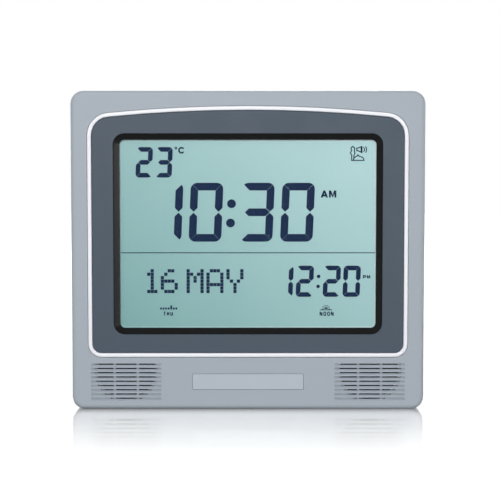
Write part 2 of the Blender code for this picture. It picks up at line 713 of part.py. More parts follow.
def build_front_bezel():
    """The silver front shell with its arched recess, grilles, name panel recess, speaker rings and bosses."""
    bm = bmesh.new()
    profile = edge_round(FRONT_ROUND, FACE_Y, 1) + [(0, PARTING_Y)]
    add_loft(bm, [at(case_outline(inset), y) for inset, y in profile])
    bezel = piece("front_bezel", bm, SILVER)

    hollow = bmesh.new()
    profile = (
        (WALL, FRONT_INNER_Y),
        (WALL, PARTING_Y - LIP_HEIGHT),
        (LIP, PARTING_Y - LIP_HEIGHT),
        (LIP, PARTING_Y + OVERCUT),
    )
    add_loft(hollow, [at(case_outline(inset), y) for inset, y in profile])
    cut(bezel, hollow, "front_hollow")

    floor = bmesh.new()
    add_prism(floor, arched_outline(-RECESS_MARGIN), FRONT_INNER_Y - OVERCUT, FLOOR_BACK_Y)
    join(bezel, floor, "recess_floor")

    holders = bmesh.new()
    for x in (-GRILLE_X, GRILLE_X):
        bore = SPEAKER_RADIUS + SEAT_GAP
        seat = bore - SPEAKER_SEAT_WIDTH
        rim_y = SPEAKER_SEAT_Y + SPEAKER_RING_DEPTH
        profile = (
            (bore + SPEAKER_RING_WALL, FRONT_INNER_Y - OVERCUT),
            (bore + SPEAKER_RING_WALL, rim_y),
            (bore, rim_y),
            (bore, SPEAKER_SEAT_Y),
            (seat, SPEAKER_SEAT_Y),
            (seat, FRONT_INNER_Y - OVERCUT),
        )
        add_loft(holders, [at(arc(x, GRILLE_Z, r, 0, 360, TURN_STEPS)[:-1], y) for r, y in profile], True)
    for x, z in corners(SCREW_X, SCREW_LOW_Z, SCREW_HIGH_Z):
        add_rod(holders, (x, FRONT_INNER_Y - OVERCUT, z), (x, SCREW_BOSS_Y, z), SCREW_BOSS_RADIUS)
    for x, z in corners(BOARD_BOSS_X, BOARD_BOSS_LOW_Z, BOARD_BOSS_HIGH_Z):
        add_rod(holders, (x, FLOOR_BACK_Y - OVERCUT, z), (x, BOARD_Y - SEAT_GAP, z), BOARD_BOSS_RADIUS)
    join(bezel, holders, "rings_and_bosses")

    recess = bmesh.new()
    profile = (
        (-SEAT_GAP, FACE_Y - OVERCUT),
        (-SEAT_GAP, RECESS_Y),
        (RECESS_LEDGE, RECESS_Y),
        (RECESS_LEDGE, SHELL_WINDOW_BACK_Y),
    )
    add_loft(recess, [at(arched_outline(inset), y) for inset, y in profile])
    cut(bezel, recess, "arched_recess")

    grooves = bmesh.new()
    for x in (-GRILLE_X, GRILLE_X):
        for z, _ in grille_rows():
            add_louvre(grooves, x, z)
    half_height = PANEL_HEIGHT / 2
    panel = rounded(
        -PANEL_WIDTH / 2, PANEL_WIDTH / 2, PANEL_Z - half_height, PANEL_Z + half_height, PANEL_RADIUS, steps=SLOT_STEPS
    )
    add_prism(grooves, panel, FACE_Y - OVERCUT, FACE_Y + PANEL_DEPTH)
    for x, z in corners(SCREW_X, SCREW_LOW_Z, SCREW_HIGH_Z):
        tip_y = HEAD_Y - SCREW_LENGTH - PILOT_EXTRA
        add_rod(grooves, (x, tip_y, z), (x, SCREW_BOSS_Y + OVERCUT, z), SCREW_SHANK_RADIUS + SEAT_GAP)
    for x, z in corners(BOARD_BOSS_X, BOARD_BOSS_LOW_Z, BOARD_BOSS_HIGH_Z):
        tip_y = PART_SEAT_Y - SMALL_SCREW_LENGTH - SEAT_GAP
        add_rod(grooves, (x, tip_y, z), (x, BOARD_Y, z), SMALL_SCREW_SHANK_RADIUS + SEAT_GAP)
    cut(bezel, grooves, "grooves_and_pilots")

    slots = bmesh.new()
    for x in (-GRILLE_X, GRILLE_X):
        for z, spans in grille_rows():
            for start, end in spans:
                low = (x + start, FACE_Y - OVERCUT, z - SLOT_HEIGHT / 2)
                high = (x + end, FRONT_INNER_Y + OVERCUT, z + SLOT_HEIGHT / 2)
                add_box(slots, low, high)
    cut(bezel, slots, "grille_slots")


def build_trim_and_fascia():
    """The near-white bead, the slate panel, the chamfered display frame and the bare name panel."""
    bm = bmesh.new()
    crest_y = FACE_Y - TRIM_PROUD
    profile = edge_round(TRIM_EDGE, crest_y, 1, TRIM_STEPS)
    inner = [(TRIM_WIDTH - inset, y) for inset, y in profile]
    ring = [(0, TRIM_BACK_Y)] + profile[::-1] + inner + [(TRIM_WIDTH, TRIM_BACK_Y)]
    add_loft(bm, [at(arched_outline(inset), y) for inset, y in ring], True)
    piece("trim_ring", bm, TRIM_WHITE)

    bm = bmesh.new()
    profile = (
        (FASCIA_INSET + FASCIA_EDGE, FASCIA_Y),
        (FASCIA_INSET, FASCIA_Y + FASCIA_EDGE),
        (FASCIA_INSET, TRIM_BACK_Y),
    )
    add_loft(bm, [at(arched_outline(inset), y) for inset, y in profile])
    fascia = piece("fascia_panel", bm, SLATE)
    window = bmesh.new()
    add_prism(window, surround_outline(-SEAT_GAP), FASCIA_Y - OVERCUT, TRIM_BACK_Y + OVERCUT)
    cut(fascia, window, "fascia_window")

    bm = bmesh.new()
    profile = (
        (0, FASCIA_Y),
        (SURROUND_BAND, FASCIA_Y + SURROUND_SLOPE),
        (SURROUND_BAND, SURROUND_BACK_Y),
        (-SURROUND_FLANGE, SURROUND_BACK_Y),
        (-SURROUND_FLANGE, SURROUND_FLANGE_Y),
        (0, SURROUND_FLANGE_Y),
    )
    add_loft(bm, [at(surround_outline(inset), y) for inset, y in profile], True)
    piece("lcd_surround", bm, BLACK_GLOSS)

    bm = bmesh.new()
    half_width = PANEL_WIDTH / 2 - SEAT_GAP
    half_height = PANEL_HEIGHT / 2 - SEAT_GAP
    outline = rounded(
        -half_width, half_width, PANEL_Z - half_height, PANEL_Z + half_height, PANEL_RADIUS - SEAT_GAP, steps=SLOT_STEPS
    )
    add_prism(bm, outline, FACE_Y + PANEL_SET_BACK, FACE_Y + PANEL_DEPTH - SEAT_GAP)
    piece("nameplate", bm, SILVER)


def build_display():
    """Window, LCD, light guide, contact strips and the frame that locates them."""
    bm = bmesh.new()
    add_prism(bm, plate_outline(0), FRAME_Y, WINDOW_BACK_Y)
    piece("display_window", bm, CLEAR)

    bm = bmesh.new()
    rings = (
        at(plate_outline(0), LCD_Y),
        at(plate_outline(0), LCD_MIDDLE_Y),
        at(plate_outline(0, LEDGE_DROP), LCD_MIDDLE_Y),
        at(plate_outline(0, LEDGE_DROP), LCD_BACK_Y),
    )
    add_loft(bm, rings)
    piece("lcd_cell", bm, LCD_GREEN)

    strip_x = -PLATE_HALF_WIDTH + LED_STRIP_WIDTH
    low_z, high_z = PLATE_BOTTOM_Z + LEDGE_DROP, PLATE_TOP_Z - LEDGE_DROP
    bm = bmesh.new()
    add_box(bm, (strip_x + SEAT_GAP, GUIDE_Y, low_z), (PLATE_HALF_WIDTH, GUIDE_BACK_Y, high_z))
    piece("light_guide", bm, WHITE_PLASTIC)
    bm = bmesh.new()
    add_box(bm, (-PLATE_HALF_WIDTH, GUIDE_Y, low_z), (strip_x, GUIDE_BACK_Y, high_z))
    piece("backlight_strip", bm, BOARD_GREEN)

    bm = bmesh.new()
    half = ZEBRA_WIDTH / 2
    add_box(
        bm,
        (-ZEBRA_HALF_LENGTH, LCD_MIDDLE_Y + SEAT_GAP, -half),
        (ZEBRA_HALF_LENGTH, BOARD_Y - SEAT_GAP, half),
    )
    strip = finished_mesh("zebra_strip", bm)
    piece("zebra_strip_lower", strip, RUBBER_PINK, (0, 0, PLATE_BOTTOM_Z + half))
    piece("zebra_strip_upper", strip, RUBBER_PINK, (0, 0, PLATE_TOP_Z - half))

    bm = bmesh.new()
    profile = (
        (SEAT_GAP, FRAME_Y),
        (SEAT_GAP + FRAME_WALL, FRAME_Y),
        (SEAT_GAP + FRAME_WALL, BOARD_Y - SEAT_GAP),
        (SEAT_GAP, BOARD_Y - SEAT_GAP),
    )
    add_loft(bm, [at(plate_outline(grow), y) for grow, y in profile], True)
    piece("display_frame", bm, WHITE_PLASTIC)


def on_board(place_shares):
    """A place on the back of the main board, from shares of its half width and half height."""
    x_share, z_share = place_shares
    middle_z = (BOARD_BOTTOM_Z + BOARD_TOP_Z) / 2
    half_height = (BOARD_TOP_Z - BOARD_BOTTOM_Z) / 2
    return (x_share * BOARD_HALF_WIDTH, PART_SEAT_Y, middle_z + z_share * half_height)


def add_chip(bm, half_length, half_width, height):
    """A chip body that stands on y = 0."""
    outline = rounded(-half_length, half_length, -half_width, half_width, CHIP_RADIUS, steps=1)
    add_prism(bm, outline, 0, height)


def build_main_board():
    """The main board with its parts and screws."""
    bm = bmesh.new()
    outline = rounded(-BOARD_HALF_WIDTH, BOARD_HALF_WIDTH, BOARD_BOTTOM_Z, BOARD_TOP_Z, BOARD_RADIUS, steps=2)
    add_prism(bm, outline, BOARD_Y, BOARD_BACK_Y)
    board = piece("main_board", bm, BOARD_GREEN)
    holes = bmesh.new()
    places = corners(BOARD_BOSS_X, BOARD_BOSS_LOW_Z, BOARD_BOSS_HIGH_Z)
    for x, z in places:
        start = (x, BOARD_Y - OVERCUT, z)
        end = (x, BOARD_BACK_Y + OVERCUT, z)
        add_rod(holes, start, end, SMALL_SCREW_SHANK_RADIUS + SEAT_GAP)
    cut(board, holes, "board_holes")

    blob = [(0, BLOB_HEIGHT)]
    for i in range(1, KEY_STEPS):
        angle = math.radians(90 * i / KEY_STEPS)
        blob.append((BLOB_RADIUS * math.sin(angle), BLOB_HEIGHT * math.cos(angle)))
    blob += [(BLOB_RADIUS, 0), (0, 0)]
    mesh = turned_mesh("controller_blob", blob, CHIP_BLACK)
    turned("controller_blob", mesh, on_board(BLOB_PLACE_SHARES), (0, 1, 0), SMALL_STEPS)

    bm = bmesh.new()
    add_chip(bm, MEMORY_LENGTH / 2, MEMORY_WIDTH / 2, MEMORY_HEIGHT)
    piece("memory_chip", bm, CHIP_BLACK, on_board(MEMORY_PLACE_SHARES))
    bm = bmesh.new()
    add_chip(bm, AMPLIFIER_LENGTH / 2, AMPLIFIER_WIDTH / 2, AMPLIFIER_HEIGHT)
    piece("amplifier_chip", bm, CHIP_BLACK, on_board(AMPLIFIER_PLACE_SHARES))
    bm = bmesh.new()
    add_rod(bm, (-CRYSTAL_LENGTH / 2, CRYSTAL_RADIUS, 0), (CRYSTAL_LENGTH / 2, CRYSTAL_RADIUS, 0), CRYSTAL_RADIUS)
    piece("quartz_crystal", bm, STEEL, on_board(CRYSTAL_PLACE_SHARES))
    can = [
        (0, CAPACITOR_HEIGHT),
        (CAPACITOR_RADIUS - CAPACITOR_EDGE, CAPACITOR_HEIGHT),
        (CAPACITOR_RADIUS, CAPACITOR_HEIGHT - CAPACITOR_EDGE),
        (CAPACITOR_RADIUS, 0),
        (0, 0),
    ]
    mesh = turned_mesh("reservoir_capacitor", can, CHIP_BLACK)
    turned("reservoir_capacitor", mesh, on_board(CAPACITOR_PLACE_SHARES), (0, 1, 0), SMALL_STEPS)

    mesh = screw_mesh(
        "board_screw", SMALL_SCREW_HEAD_RADIUS, SMALL_SCREW_HEAD_HEIGHT, SMALL_SCREW_SHANK_RADIUS, SMALL_SCREW_LENGTH
    )
    for i, (x, z) in enumerate(places, 1):
        turned(f"board_screw_{i}", mesh, (x, PART_SEAT_Y, z), (0, 1, 0), SCREW_STEPS)


def screw_mesh(name, head_radius, head_height, shank_radius, length):
    """A pan head above zero height and its shank below."""
    crown = head_radius * (1 - SCREW_CROWN_SHARE)
    brim = head_height * (1 - SCREW_CROWN_SHARE)
    profile = [
        (0, head_height),
        (crown, head_height),
        (head_radius, brim),
        (head_radius, 0),
        (shank_radius, 0),
        (shank_radius, shank_radius - length),
        (0, -length),
    ]
    return turned_mesh(name, profile, STEEL)


def build_speakers():
    """Two speakers in the front shell's rings, each a basket, a cone and a magnet."""
    rim_inner = SPEAKER_RADIUS - SPEAKER_RIM
    basket = [
        (SPEAKER_RADIUS, SPEAKER_STEEL),
        (SPEAKER_RADIUS, 0),
        (rim_inner, 0),
        (rim_inner, BASKET_LIP),
        (BASKET_BACK_RADIUS, BASKET_DEPTH - SPEAKER_STEEL),
        (BASKET_HOLE_RADIUS, BASKET_DEPTH - SPEAKER_STEEL),
        (BASKET_HOLE_RADIUS, BASKET_DEPTH),
        (BASKET_BACK_RADIUS + SPEAKER_STEEL, BASKET_DEPTH),
        (rim_inner + SPEAKER_STEEL, BASKET_LIP),
        (rim_inner + SPEAKER_STEEL, SPEAKER_STEEL),
    ]
    frame = turned_mesh("speaker_frame", basket, STEEL, closed=True)

    roll_x = rim_inner - SEAT_GAP - CONE_ROLL / 2
    edge_x = rim_inner - SEAT_GAP - CONE_ROLL
    front = [(0, CONE_DEPTH - DUST_CAP_RISE)]
    front += [(CONE_NECK_RADIUS / 2, CONE_DEPTH - DUST_CAP_RISE * DUST_CAP_SHOULDER_SHARE)]
    front += [(CONE_NECK_RADIUS, CONE_DEPTH), (edge_x, 0), (roll_x, -CONE_ROLL_HEIGHT), (rim_inner - SEAT_GAP, 0)]
    back = [(radius, height + CONE_THICKNESS) for radius, height in front]
    cone = turned_mesh("speaker_cone", back + front[::-1], CONE_BLACK)

    body = [
        (0, MAGNET_DEPTH),
        (MAGNET_RADIUS - MAGNET_EDGE, MAGNET_DEPTH),
        (MAGNET_RADIUS, MAGNET_DEPTH - MAGNET_EDGE),
        (MAGNET_RADIUS, 0),
        (0, 0),
    ]
    magnet = turned_mesh("speaker_magnet", body, FERRITE)
    for side, x in (("left", -GRILLE_X), ("right", GRILLE_X)):
        turned(f"speaker_frame_{side}", frame, (x, SPEAKER_Y, GRILLE_Z), (0, 1, 0), TURN_STEPS)
        turned(f"speaker_cone_{side}", cone, (x, SPEAKER_Y, GRILLE_Z), (0, 1, 0), TURN_STEPS)
        back_y = SPEAKER_Y + BASKET_DEPTH + SEAT_GAP
        turned(f"speaker_magnet_{side}", magnet, (x, back_y, GRILLE_Z), (0, 1, 0), TURN_STEPS)


def leg_outline(grow, top, bottom):
    """The stand leg seen from behind, from the hinge to the foot, grown at the sides."""
    fall = LEG_HINGE_Z - LEG_FOOT_Z
    lean = (LEG_HALF_WIDTH - LEG_FOOT_HALF_WIDTH) / fall

    def half(z):
        return min(LEG_FOOT_HALF_WIDTH + lean * (z - LEG_FOOT_Z), LEG_HALF_WIDTH) + grow

    return [(half(bottom), bottom), (half(LEG_HINGE_Z), LEG_HINGE_Z), (half(LEG_HINGE_Z), top)] + [
        (-half(LEG_HINGE_Z), top),
        (-half(LEG_HINGE_Z), LEG_HINGE_Z),
        (-half(bottom), bottom),
    ]


def keyhole_outline(x):
    """A round entry with a narrower slot above it for a wall screw."""
    neck = math.degrees(math.asin(KEYHOLE_SLOT_RADIUS / KEYHOLE_RADIUS))
    entry = arc(x, KEYHOLE_Z, KEYHOLE_RADIUS, 90 + neck, 450 - neck, TURN_STEPS // 2)
    return entry + arc(x, KEYHOLE_Z + KEYHOLE_RISE, KEYHOLE_SLOT_RADIUS, 0, 180, CORNER_STEPS)


def key_outline(grow):
    """A rear key about its own middle, grown on all sides."""
    half_length, half_height = KEY_HALF_LENGTH + grow, KEY_HALF_HEIGHT + grow
    return rounded(-half_length, half_length, -half_height, half_height, KEY_RADIUS + grow, steps=KEY_STEPS)


def build_rear_cover():
    """The back shell with the battery bay, stand recess, key panel, screw tubes, vents and keyholes."""
    tongue = LIP + SEAT_GAP
    bm = bmesh.new()
    profile = [(tongue, PARTING_Y - LIP_HEIGHT + SEAT_GAP), (tongue, COVER_Y), (0, COVER_Y)]
    profile += edge_round(BACK_ROUND, BACK_Y, -1)[::-1]
    add_loft(bm, [at(case_outline(inset), y) for inset, y in profile])
    cover = piece("rear_cover", bm, SILVER)
    hollow = bmesh.new()
    add_prism(hollow, case_outline(WALL), PARTING_Y - LIP_HEIGHT - OVERCUT, BACK_INNER_Y)
    cut(cover, hollow, "cover_hollow")

    sunk_y = BACK_INNER_Y + HOUSING_OVERLAP
    housings = bmesh.new()
    low = (-HOUSING_HALF_WIDTH, RIM_FRONT_Y, POCKET_BOTTOM_Z - BAY_WALL)
    high = (HOUSING_HALF_WIDTH, sunk_y, POCKET_TOP_Z + BAY_WALL)
    add_box(housings, low, high)
    outline = leg_outline(LEG_SIDE_GAP + LEG_HOUSING_WALL, LEG_RECESS_TOP_Z + HOUSING_WALL, WALL / 2)
    add_prism(housings, outline, LEG_FLOOR_Y - HOUSING_WALL, sunk_y)
    half_width = KEY_PAN_HALF_WIDTH + KEY_PAN_MARGIN
    half_height = KEY_PAN_HALF_HEIGHT + KEY_PAN_RADIUS / 2
    low = (-half_width, KEY_PAN_BACK_Y, KEY_Z - half_height)
    add_box(housings, low, (half_width, sunk_y, KEY_Z + half_height))
    for x, z in corners(SCREW_X, SCREW_LOW_Z, SCREW_HIGH_Z):
        add_rod(housings, (x, SCREW_BOSS_Y + SEAT_GAP, z), (x, sunk_y, z), SCREW_TUBE_RADIUS, TURN_STEPS // 2)
    join(cover, housings, "housings")
    posts = bmesh.new()
    half_width, half_height = BAY_HALF_LENGTH + BAY_WALL, BAY_HALF_HEIGHT + BAY_WALL
    low = (-half_width, BAY_FLOOR_Y - BAY_WALL, BAY_Z - half_height)
    add_box(posts, low, (half_width, RIM_FRONT_Y + HOUSING_OVERLAP, BAY_Z + half_height))
    for x in (-KEY_POST_X, KEY_POST_X):
        end = (x, KEY_PAN_BACK_Y + HOUSING_OVERLAP, KEY_Z)
        add_rod(posts, (x, KEY_BOARD_BACK_Y + SEAT_GAP, KEY_Z), end, KEY_POST_RADIUS)
    join(cover, posts, "tub_and_posts")

    past_y = BACK_Y + OVERCUT
    pockets = bmesh.new()
    low = (-POCKET_HALF_WIDTH, POCKET_FLOOR_Y, POCKET_BOTTOM_Z)
    add_box(pockets, low, (POCKET_HALF_WIDTH, past_y, POCKET_TOP_Z))
    add_prism(pockets, leg_outline(LEG_SIDE_GAP, LEG_RECESS_TOP_Z, -OVERCUT), LEG_FLOOR_Y, past_y)
    left, right = -KEY_PAN_HALF_WIDTH, KEY_PAN_HALF_WIDTH
    low_z, high_z = KEY_Z - KEY_PAN_HALF_HEIGHT, KEY_Z + KEY_PAN_HALF_HEIGHT
    add_prism(pockets, rounded(left, right, low_z, high_z, KEY_PAN_RADIUS, steps=SLOT_STEPS), KEY_PAN_Y, past_y)
    for x, z in corners(SCREW_X, SCREW_LOW_Z, SCREW_HIGH_Z):
        bore = SCREW_HEAD_RADIUS + SEAT_GAP
        add_rod(pockets, (x, SCREW_SEAT_Y, z), (x, past_y, z), bore, TURN_STEPS // 2)
    for x in (-KEYHOLE_X, KEYHOLE_X):
        add_prism(pockets, keyhole_outline(x), BACK_INNER_Y - OVERCUT, past_y)
    for x in (-VENT_X, VENT_X):
        for i in range(VENT_COUNT):
            z = VENT_Z + i * VENT_PITCH
            half = VENT_HEIGHT / 2
            slot = rounded(x - VENT_HALF_LENGTH, x + VENT_HALF_LENGTH, z - half, z + half, half, steps=SLOT_STEPS)
            add_prism(pockets, slot, BACK_INNER_Y - OVERCUT, past_y)
    cut(cover, pockets, "pockets_and_vents")

    hollows = bmesh.new()
    low = (-BAY_HALF_LENGTH, BAY_FLOOR_Y, BAY_Z - BAY_HALF_HEIGHT)
    add_box(hollows, low, (BAY_HALF_LENGTH, POCKET_FLOOR_Y + OVERCUT, BAY_Z + BAY_HALF_HEIGHT))
    for x, z in corners(SCREW_X, SCREW_LOW_Z, SCREW_HIGH_Z):
        start = (x, SCREW_BOSS_Y - OVERCUT, z)
        add_rod(hollows, start, (x, SCREW_SEAT_Y + OVERCUT, z), SCREW_SHANK_RADIUS + SEAT_GAP)
    for i in range(len(KEY_NAMES)):
        outline = [(x + KEY_FIRST_X + i * KEY_PITCH, z + KEY_Z) for x, z in key_outline(SEAT_GAP)]
        add_prism(hollows, outline, KEY_PAN_BACK_Y - OVERCUT, KEY_PAN_Y + OVERCUT)
    stem_x = KNOB_STEM_HALF_LENGTH + KNOB_SLOT_GAP
    stem_z = KNOB_STEM_HALF_HEIGHT + KNOB_SLOT_GAP
    low = (KNOB_X - stem_x, KEY_PAN_BACK_Y - OVERCUT, KEY_Z - stem_z)
    add_box(hollows, low, (KNOB_X + KNOB_TRAVEL + stem_x, KEY_PAN_Y + OVERCUT, KEY_Z + stem_z))
    for x in (-KEY_POST_X, KEY_POST_X):
        start = (x, KEY_BOARD_BACK_Y - OVERCUT, KEY_Z)
        end = (x, KEY_BOARD_Y + SMALL_SCREW_LENGTH + SEAT_GAP, KEY_Z)
        add_rod(hollows, start, end, SMALL_SCREW_SHANK_RADIUS + SEAT_GAP)
    reach = LEG_HALF_WIDTH + LEG_PIN_LENGTH + SOCKET_EXTRA
    start = (-reach, LEG_AXIS_Y, LEG_HINGE_Z)
    add_rod(hollows, start, (reach, LEG_AXIS_Y, LEG_HINGE_Z), LEG_PIN_RADIUS + SEAT_GAP)
    cut(cover, hollows, "bay_and_holes")

    trough = bmesh.new()
    reach = POCKET_HALF_WIDTH + DOOR_PIN_LENGTH + SOCKET_EXTRA
    add_stepped_rod(
        trough,
        POCKET_HALF_WIDTH,
        DOOR_BARREL_RADIUS + DOOR_TROUGH_GAP,
        reach,
        DOOR_PIN_RADIUS + SEAT_GAP,
    )
    cut(cover, trough, "door_trough", (0, DOOR_AXIS_Y, DOOR_AXIS_Z))


def add_stepped_rod(bm, barrel_half, barrel_radius, pin_half, pin_radius):
    """A barrel along X with a thinner pin at each end, about its own middle."""
    profile = (
        (-pin_half, pin_radius),
        (-barrel_half, pin_radius),
        (-barrel_half, barrel_radius),
        (barrel_half, barrel_radius),
        (barrel_half, pin_radius),
        (pin_half, pin_radius),
    )
    rings = []
    for x, radius in profile:
        rings.append([(x, y, z) for y, z in arc(0, 0, radius, 0, 360, SMALL_STEPS)[:-1]])
    add_loft(bm, rings)


def build_stand_leg():
    """The fold-out leg: a tapered plate on a barrel with two pins, stiffened inside, with a heel that stops it."""
    fall = LEG_HINGE_Z - LEG_FOOT_Z
    back = LEG_BACK_Y - LEG_AXIS_Y
    front = back - LEG_THICKNESS
    bm = bmesh.new()
    foot = LEG_FOOT_RADIUS
    outline = arc(LEG_FOOT_HALF_WIDTH - foot, foot - fall, foot, -90, 0, CORNER_STEPS)
    outline += [(LEG_HALF_WIDTH, 0), (-LEG_HALF_WIDTH, 0)]
    outline += arc(foot - LEG_FOOT_HALF_WIDTH, foot - fall, foot, 180, 270, CORNER_STEPS)
    add_prism(bm, outline, front, back)
    leg = piece("stand_leg", bm, KEY_GREY, (0, LEG_AXIS_Y, LEG_HINGE_Z))

    barrel = bmesh.new()
    pin_end = LEG_HALF_WIDTH + LEG_PIN_LENGTH
    add_stepped_rod(barrel, LEG_HALF_WIDTH - LEG_BARREL_INSET, LEG_BARREL_RADIUS, pin_end, LEG_PIN_RADIUS)
    join(leg, barrel, "leg_barrel", leg.location)

    ribs = bmesh.new()
    rib_top = -LEG_BARREL_RADIUS / 2
    rib_bottom = foot - fall
    for x in (-LEG_RIB_X, LEG_RIB_X):
        low = (x - LEG_RIB_WIDTH / 2, front - LEG_RIB_HEIGHT, rib_bottom)
        add_box(ribs, low, (x + LEG_RIB_WIDTH / 2, front + LEG_RIB_OVERLAP, rib_top))
    heel = (-LEG_HEEL_HALF_WIDTH, -LEG_HEEL_FACE, 0)
    add_box(ribs, heel, (LEG_HEEL_HALF_WIDTH, LEG_HEEL_THICKNESS - LEG_HEEL_FACE, LEG_HEEL_HEIGHT))
    for i in range(LEG_GRIP_COUNT):
        z = LEG_GRIP_Z + i * LEG_GRIP_PITCH - fall
        low = (-LEG_GRIP_HALF_WIDTH, back - LEG_RIB_OVERLAP, z - LEG_GRIP_WIDTH / 2)
        add_box(ribs, low, (LEG_GRIP_HALF_WIDTH, back + LEG_GRIP_RISE, z + LEG_GRIP_WIDTH / 2))
    join(leg, ribs, "leg_ribs", leg.location)

    cross = bmesh.new()
    inside = LEG_RIB_X
    for i in range(LEG_CROSS_RIB_COUNT):
        z = rib_top + (rib_bottom - rib_top) * (i + 1) / (LEG_CROSS_RIB_COUNT + 1)
        low = (-inside, front - LEG_RIB_HEIGHT / 2, z - LEG_RIB_WIDTH / 2)
        add_box(cross, low, (inside, front + LEG_RIB_OVERLAP / 2, z + LEG_RIB_WIDTH / 2))
    join(leg, cross, "leg_cross_ribs", leg.location)


def build_battery_door():
    """The door over the cells: a plate on a barrel with two pins, with a sprung latch finger at its top."""
    top = POCKET_TOP_Z - DOOR_SIDE_GAP - DOOR_AXIS_Z
    half_width = POCKET_HALF_WIDTH - DOOR_SIDE_GAP
    front = DOOR_FRONT_Y - DOOR_AXIS_Y
    back = DOOR_BACK_Y - DOOR_AXIS_Y
    bm = bmesh.new()
    add_prism(bm, rounded(-half_width, half_width, 0, top, 0, DOOR_RADIUS, SLOT_STEPS), front, back)
    door = piece("battery_door", bm, SILVER, (0, DOOR_AXIS_Y, DOOR_AXIS_Z))
    barrel = bmesh.new()
    pin_end = half_width + DOOR_PIN_LENGTH
    add_stepped_rod(barrel, half_width - DOOR_BARREL_INSET, DOOR_BARREL_RADIUS, pin_end, DOOR_PIN_RADIUS)
    join(door, barrel, "door_barrel", door.location)

    slits = bmesh.new()
    for side in (-1, 1):
        x = side * DOOR_LATCH_HALF_WIDTH
        low = (x - DOOR_LATCH_SLIT / 2, front - OVERCUT, top - DOOR_LATCH_LENGTH)
        add_box(slits, low, (x + DOOR_LATCH_SLIT / 2, back + OVERCUT, top + OVERCUT))
    cut(door, slits, "latch_slits", door.location)
    grips = bmesh.new()
    for i in range(DOOR_GRIP_COUNT):
        z = top - (i + 1) * DOOR_GRIP_PITCH
        half = DOOR_LATCH_HALF_WIDTH - DOOR_LATCH_SLIT
        low = (-half, back - DOOR_GRIP_WIDTH, z - DOOR_GRIP_WIDTH / 2)
        add_box(grips, low, (half, back + DOOR_GRIP_RISE, z + DOOR_GRIP_WIDTH / 2))
    join(door, grips, "latch_grips", door.location)


def spring_route(start, side, drop):
    """Points of a conical battery spring about X, wide at its plate and narrow at its tip."""
    count = SPRING_TURNS * SPRING_POINTS_PER_TURN
    points = []
    for i in range(count + 1):
        share = i / count
        radius = SPRING_BASE_RADIUS + (SPRING_TIP_RADIUS - SPRING_BASE_RADIUS) * share
        angle = 2 * math.pi * i / SPRING_POINTS_PER_TURN
        x = start + side * drop * share
        points.append((x, radius * math.cos(angle), radius * math.sin(angle)))
    return points


def least_gap(points, wire_radius):
    """The least clear distance between stretches of a coiled wire that lie half a turn or more apart."""
    apart = SPRING_POINTS_PER_TURN // 2
    pairs = ((a, b) for i, a in enumerate(points) for b in points[i + apart :])
    return min(math.dist(a, b) for a, b in pairs) - 2 * wire_radius


def add_spring(plate, name, start, side, drop, place):
    """Bends the spring's wire as a curve, makes it a mesh and joins it to its plate."""
    points = spring_route(start, side, drop)
    print(f"{name}: least gap between turns {least_gap(points, SPRING_WIRE_RADIUS):.5f} m")
    curve = bpy.data.curves.new(name, "CURVE")
    curve.dimensions = "3D"
    curve.bevel_depth = SPRING_WIRE_RADIUS
    curve.bevel_resolution = SPRING_RESOLUTION
    curve.use_fill_caps = True
    line = curve.splines.new("POLY")
    line.points.add(len(points) - 1)
    for point, spot in zip(line.points, points):
        point.co = (*spot, 1)
    wire = bpy.data.objects.new(name, curve)
    wire.location = place
    CUTTERS.objects.link(wire)
    bpy.context.view_layer.update()
    shown = wire.evaluated_get(bpy.context.evaluated_depsgraph_get())
    bm = bmesh.new()
    bm.from_mesh(bpy.data.meshes.new_from_object(shown))
    bmesh.ops.remove_doubles(bm, verts=bm.verts, dist=MERGE)
    bpy.data.objects.remove(wire, do_unlink=True)
    join(plate, bm, f"{name}_wire", place)


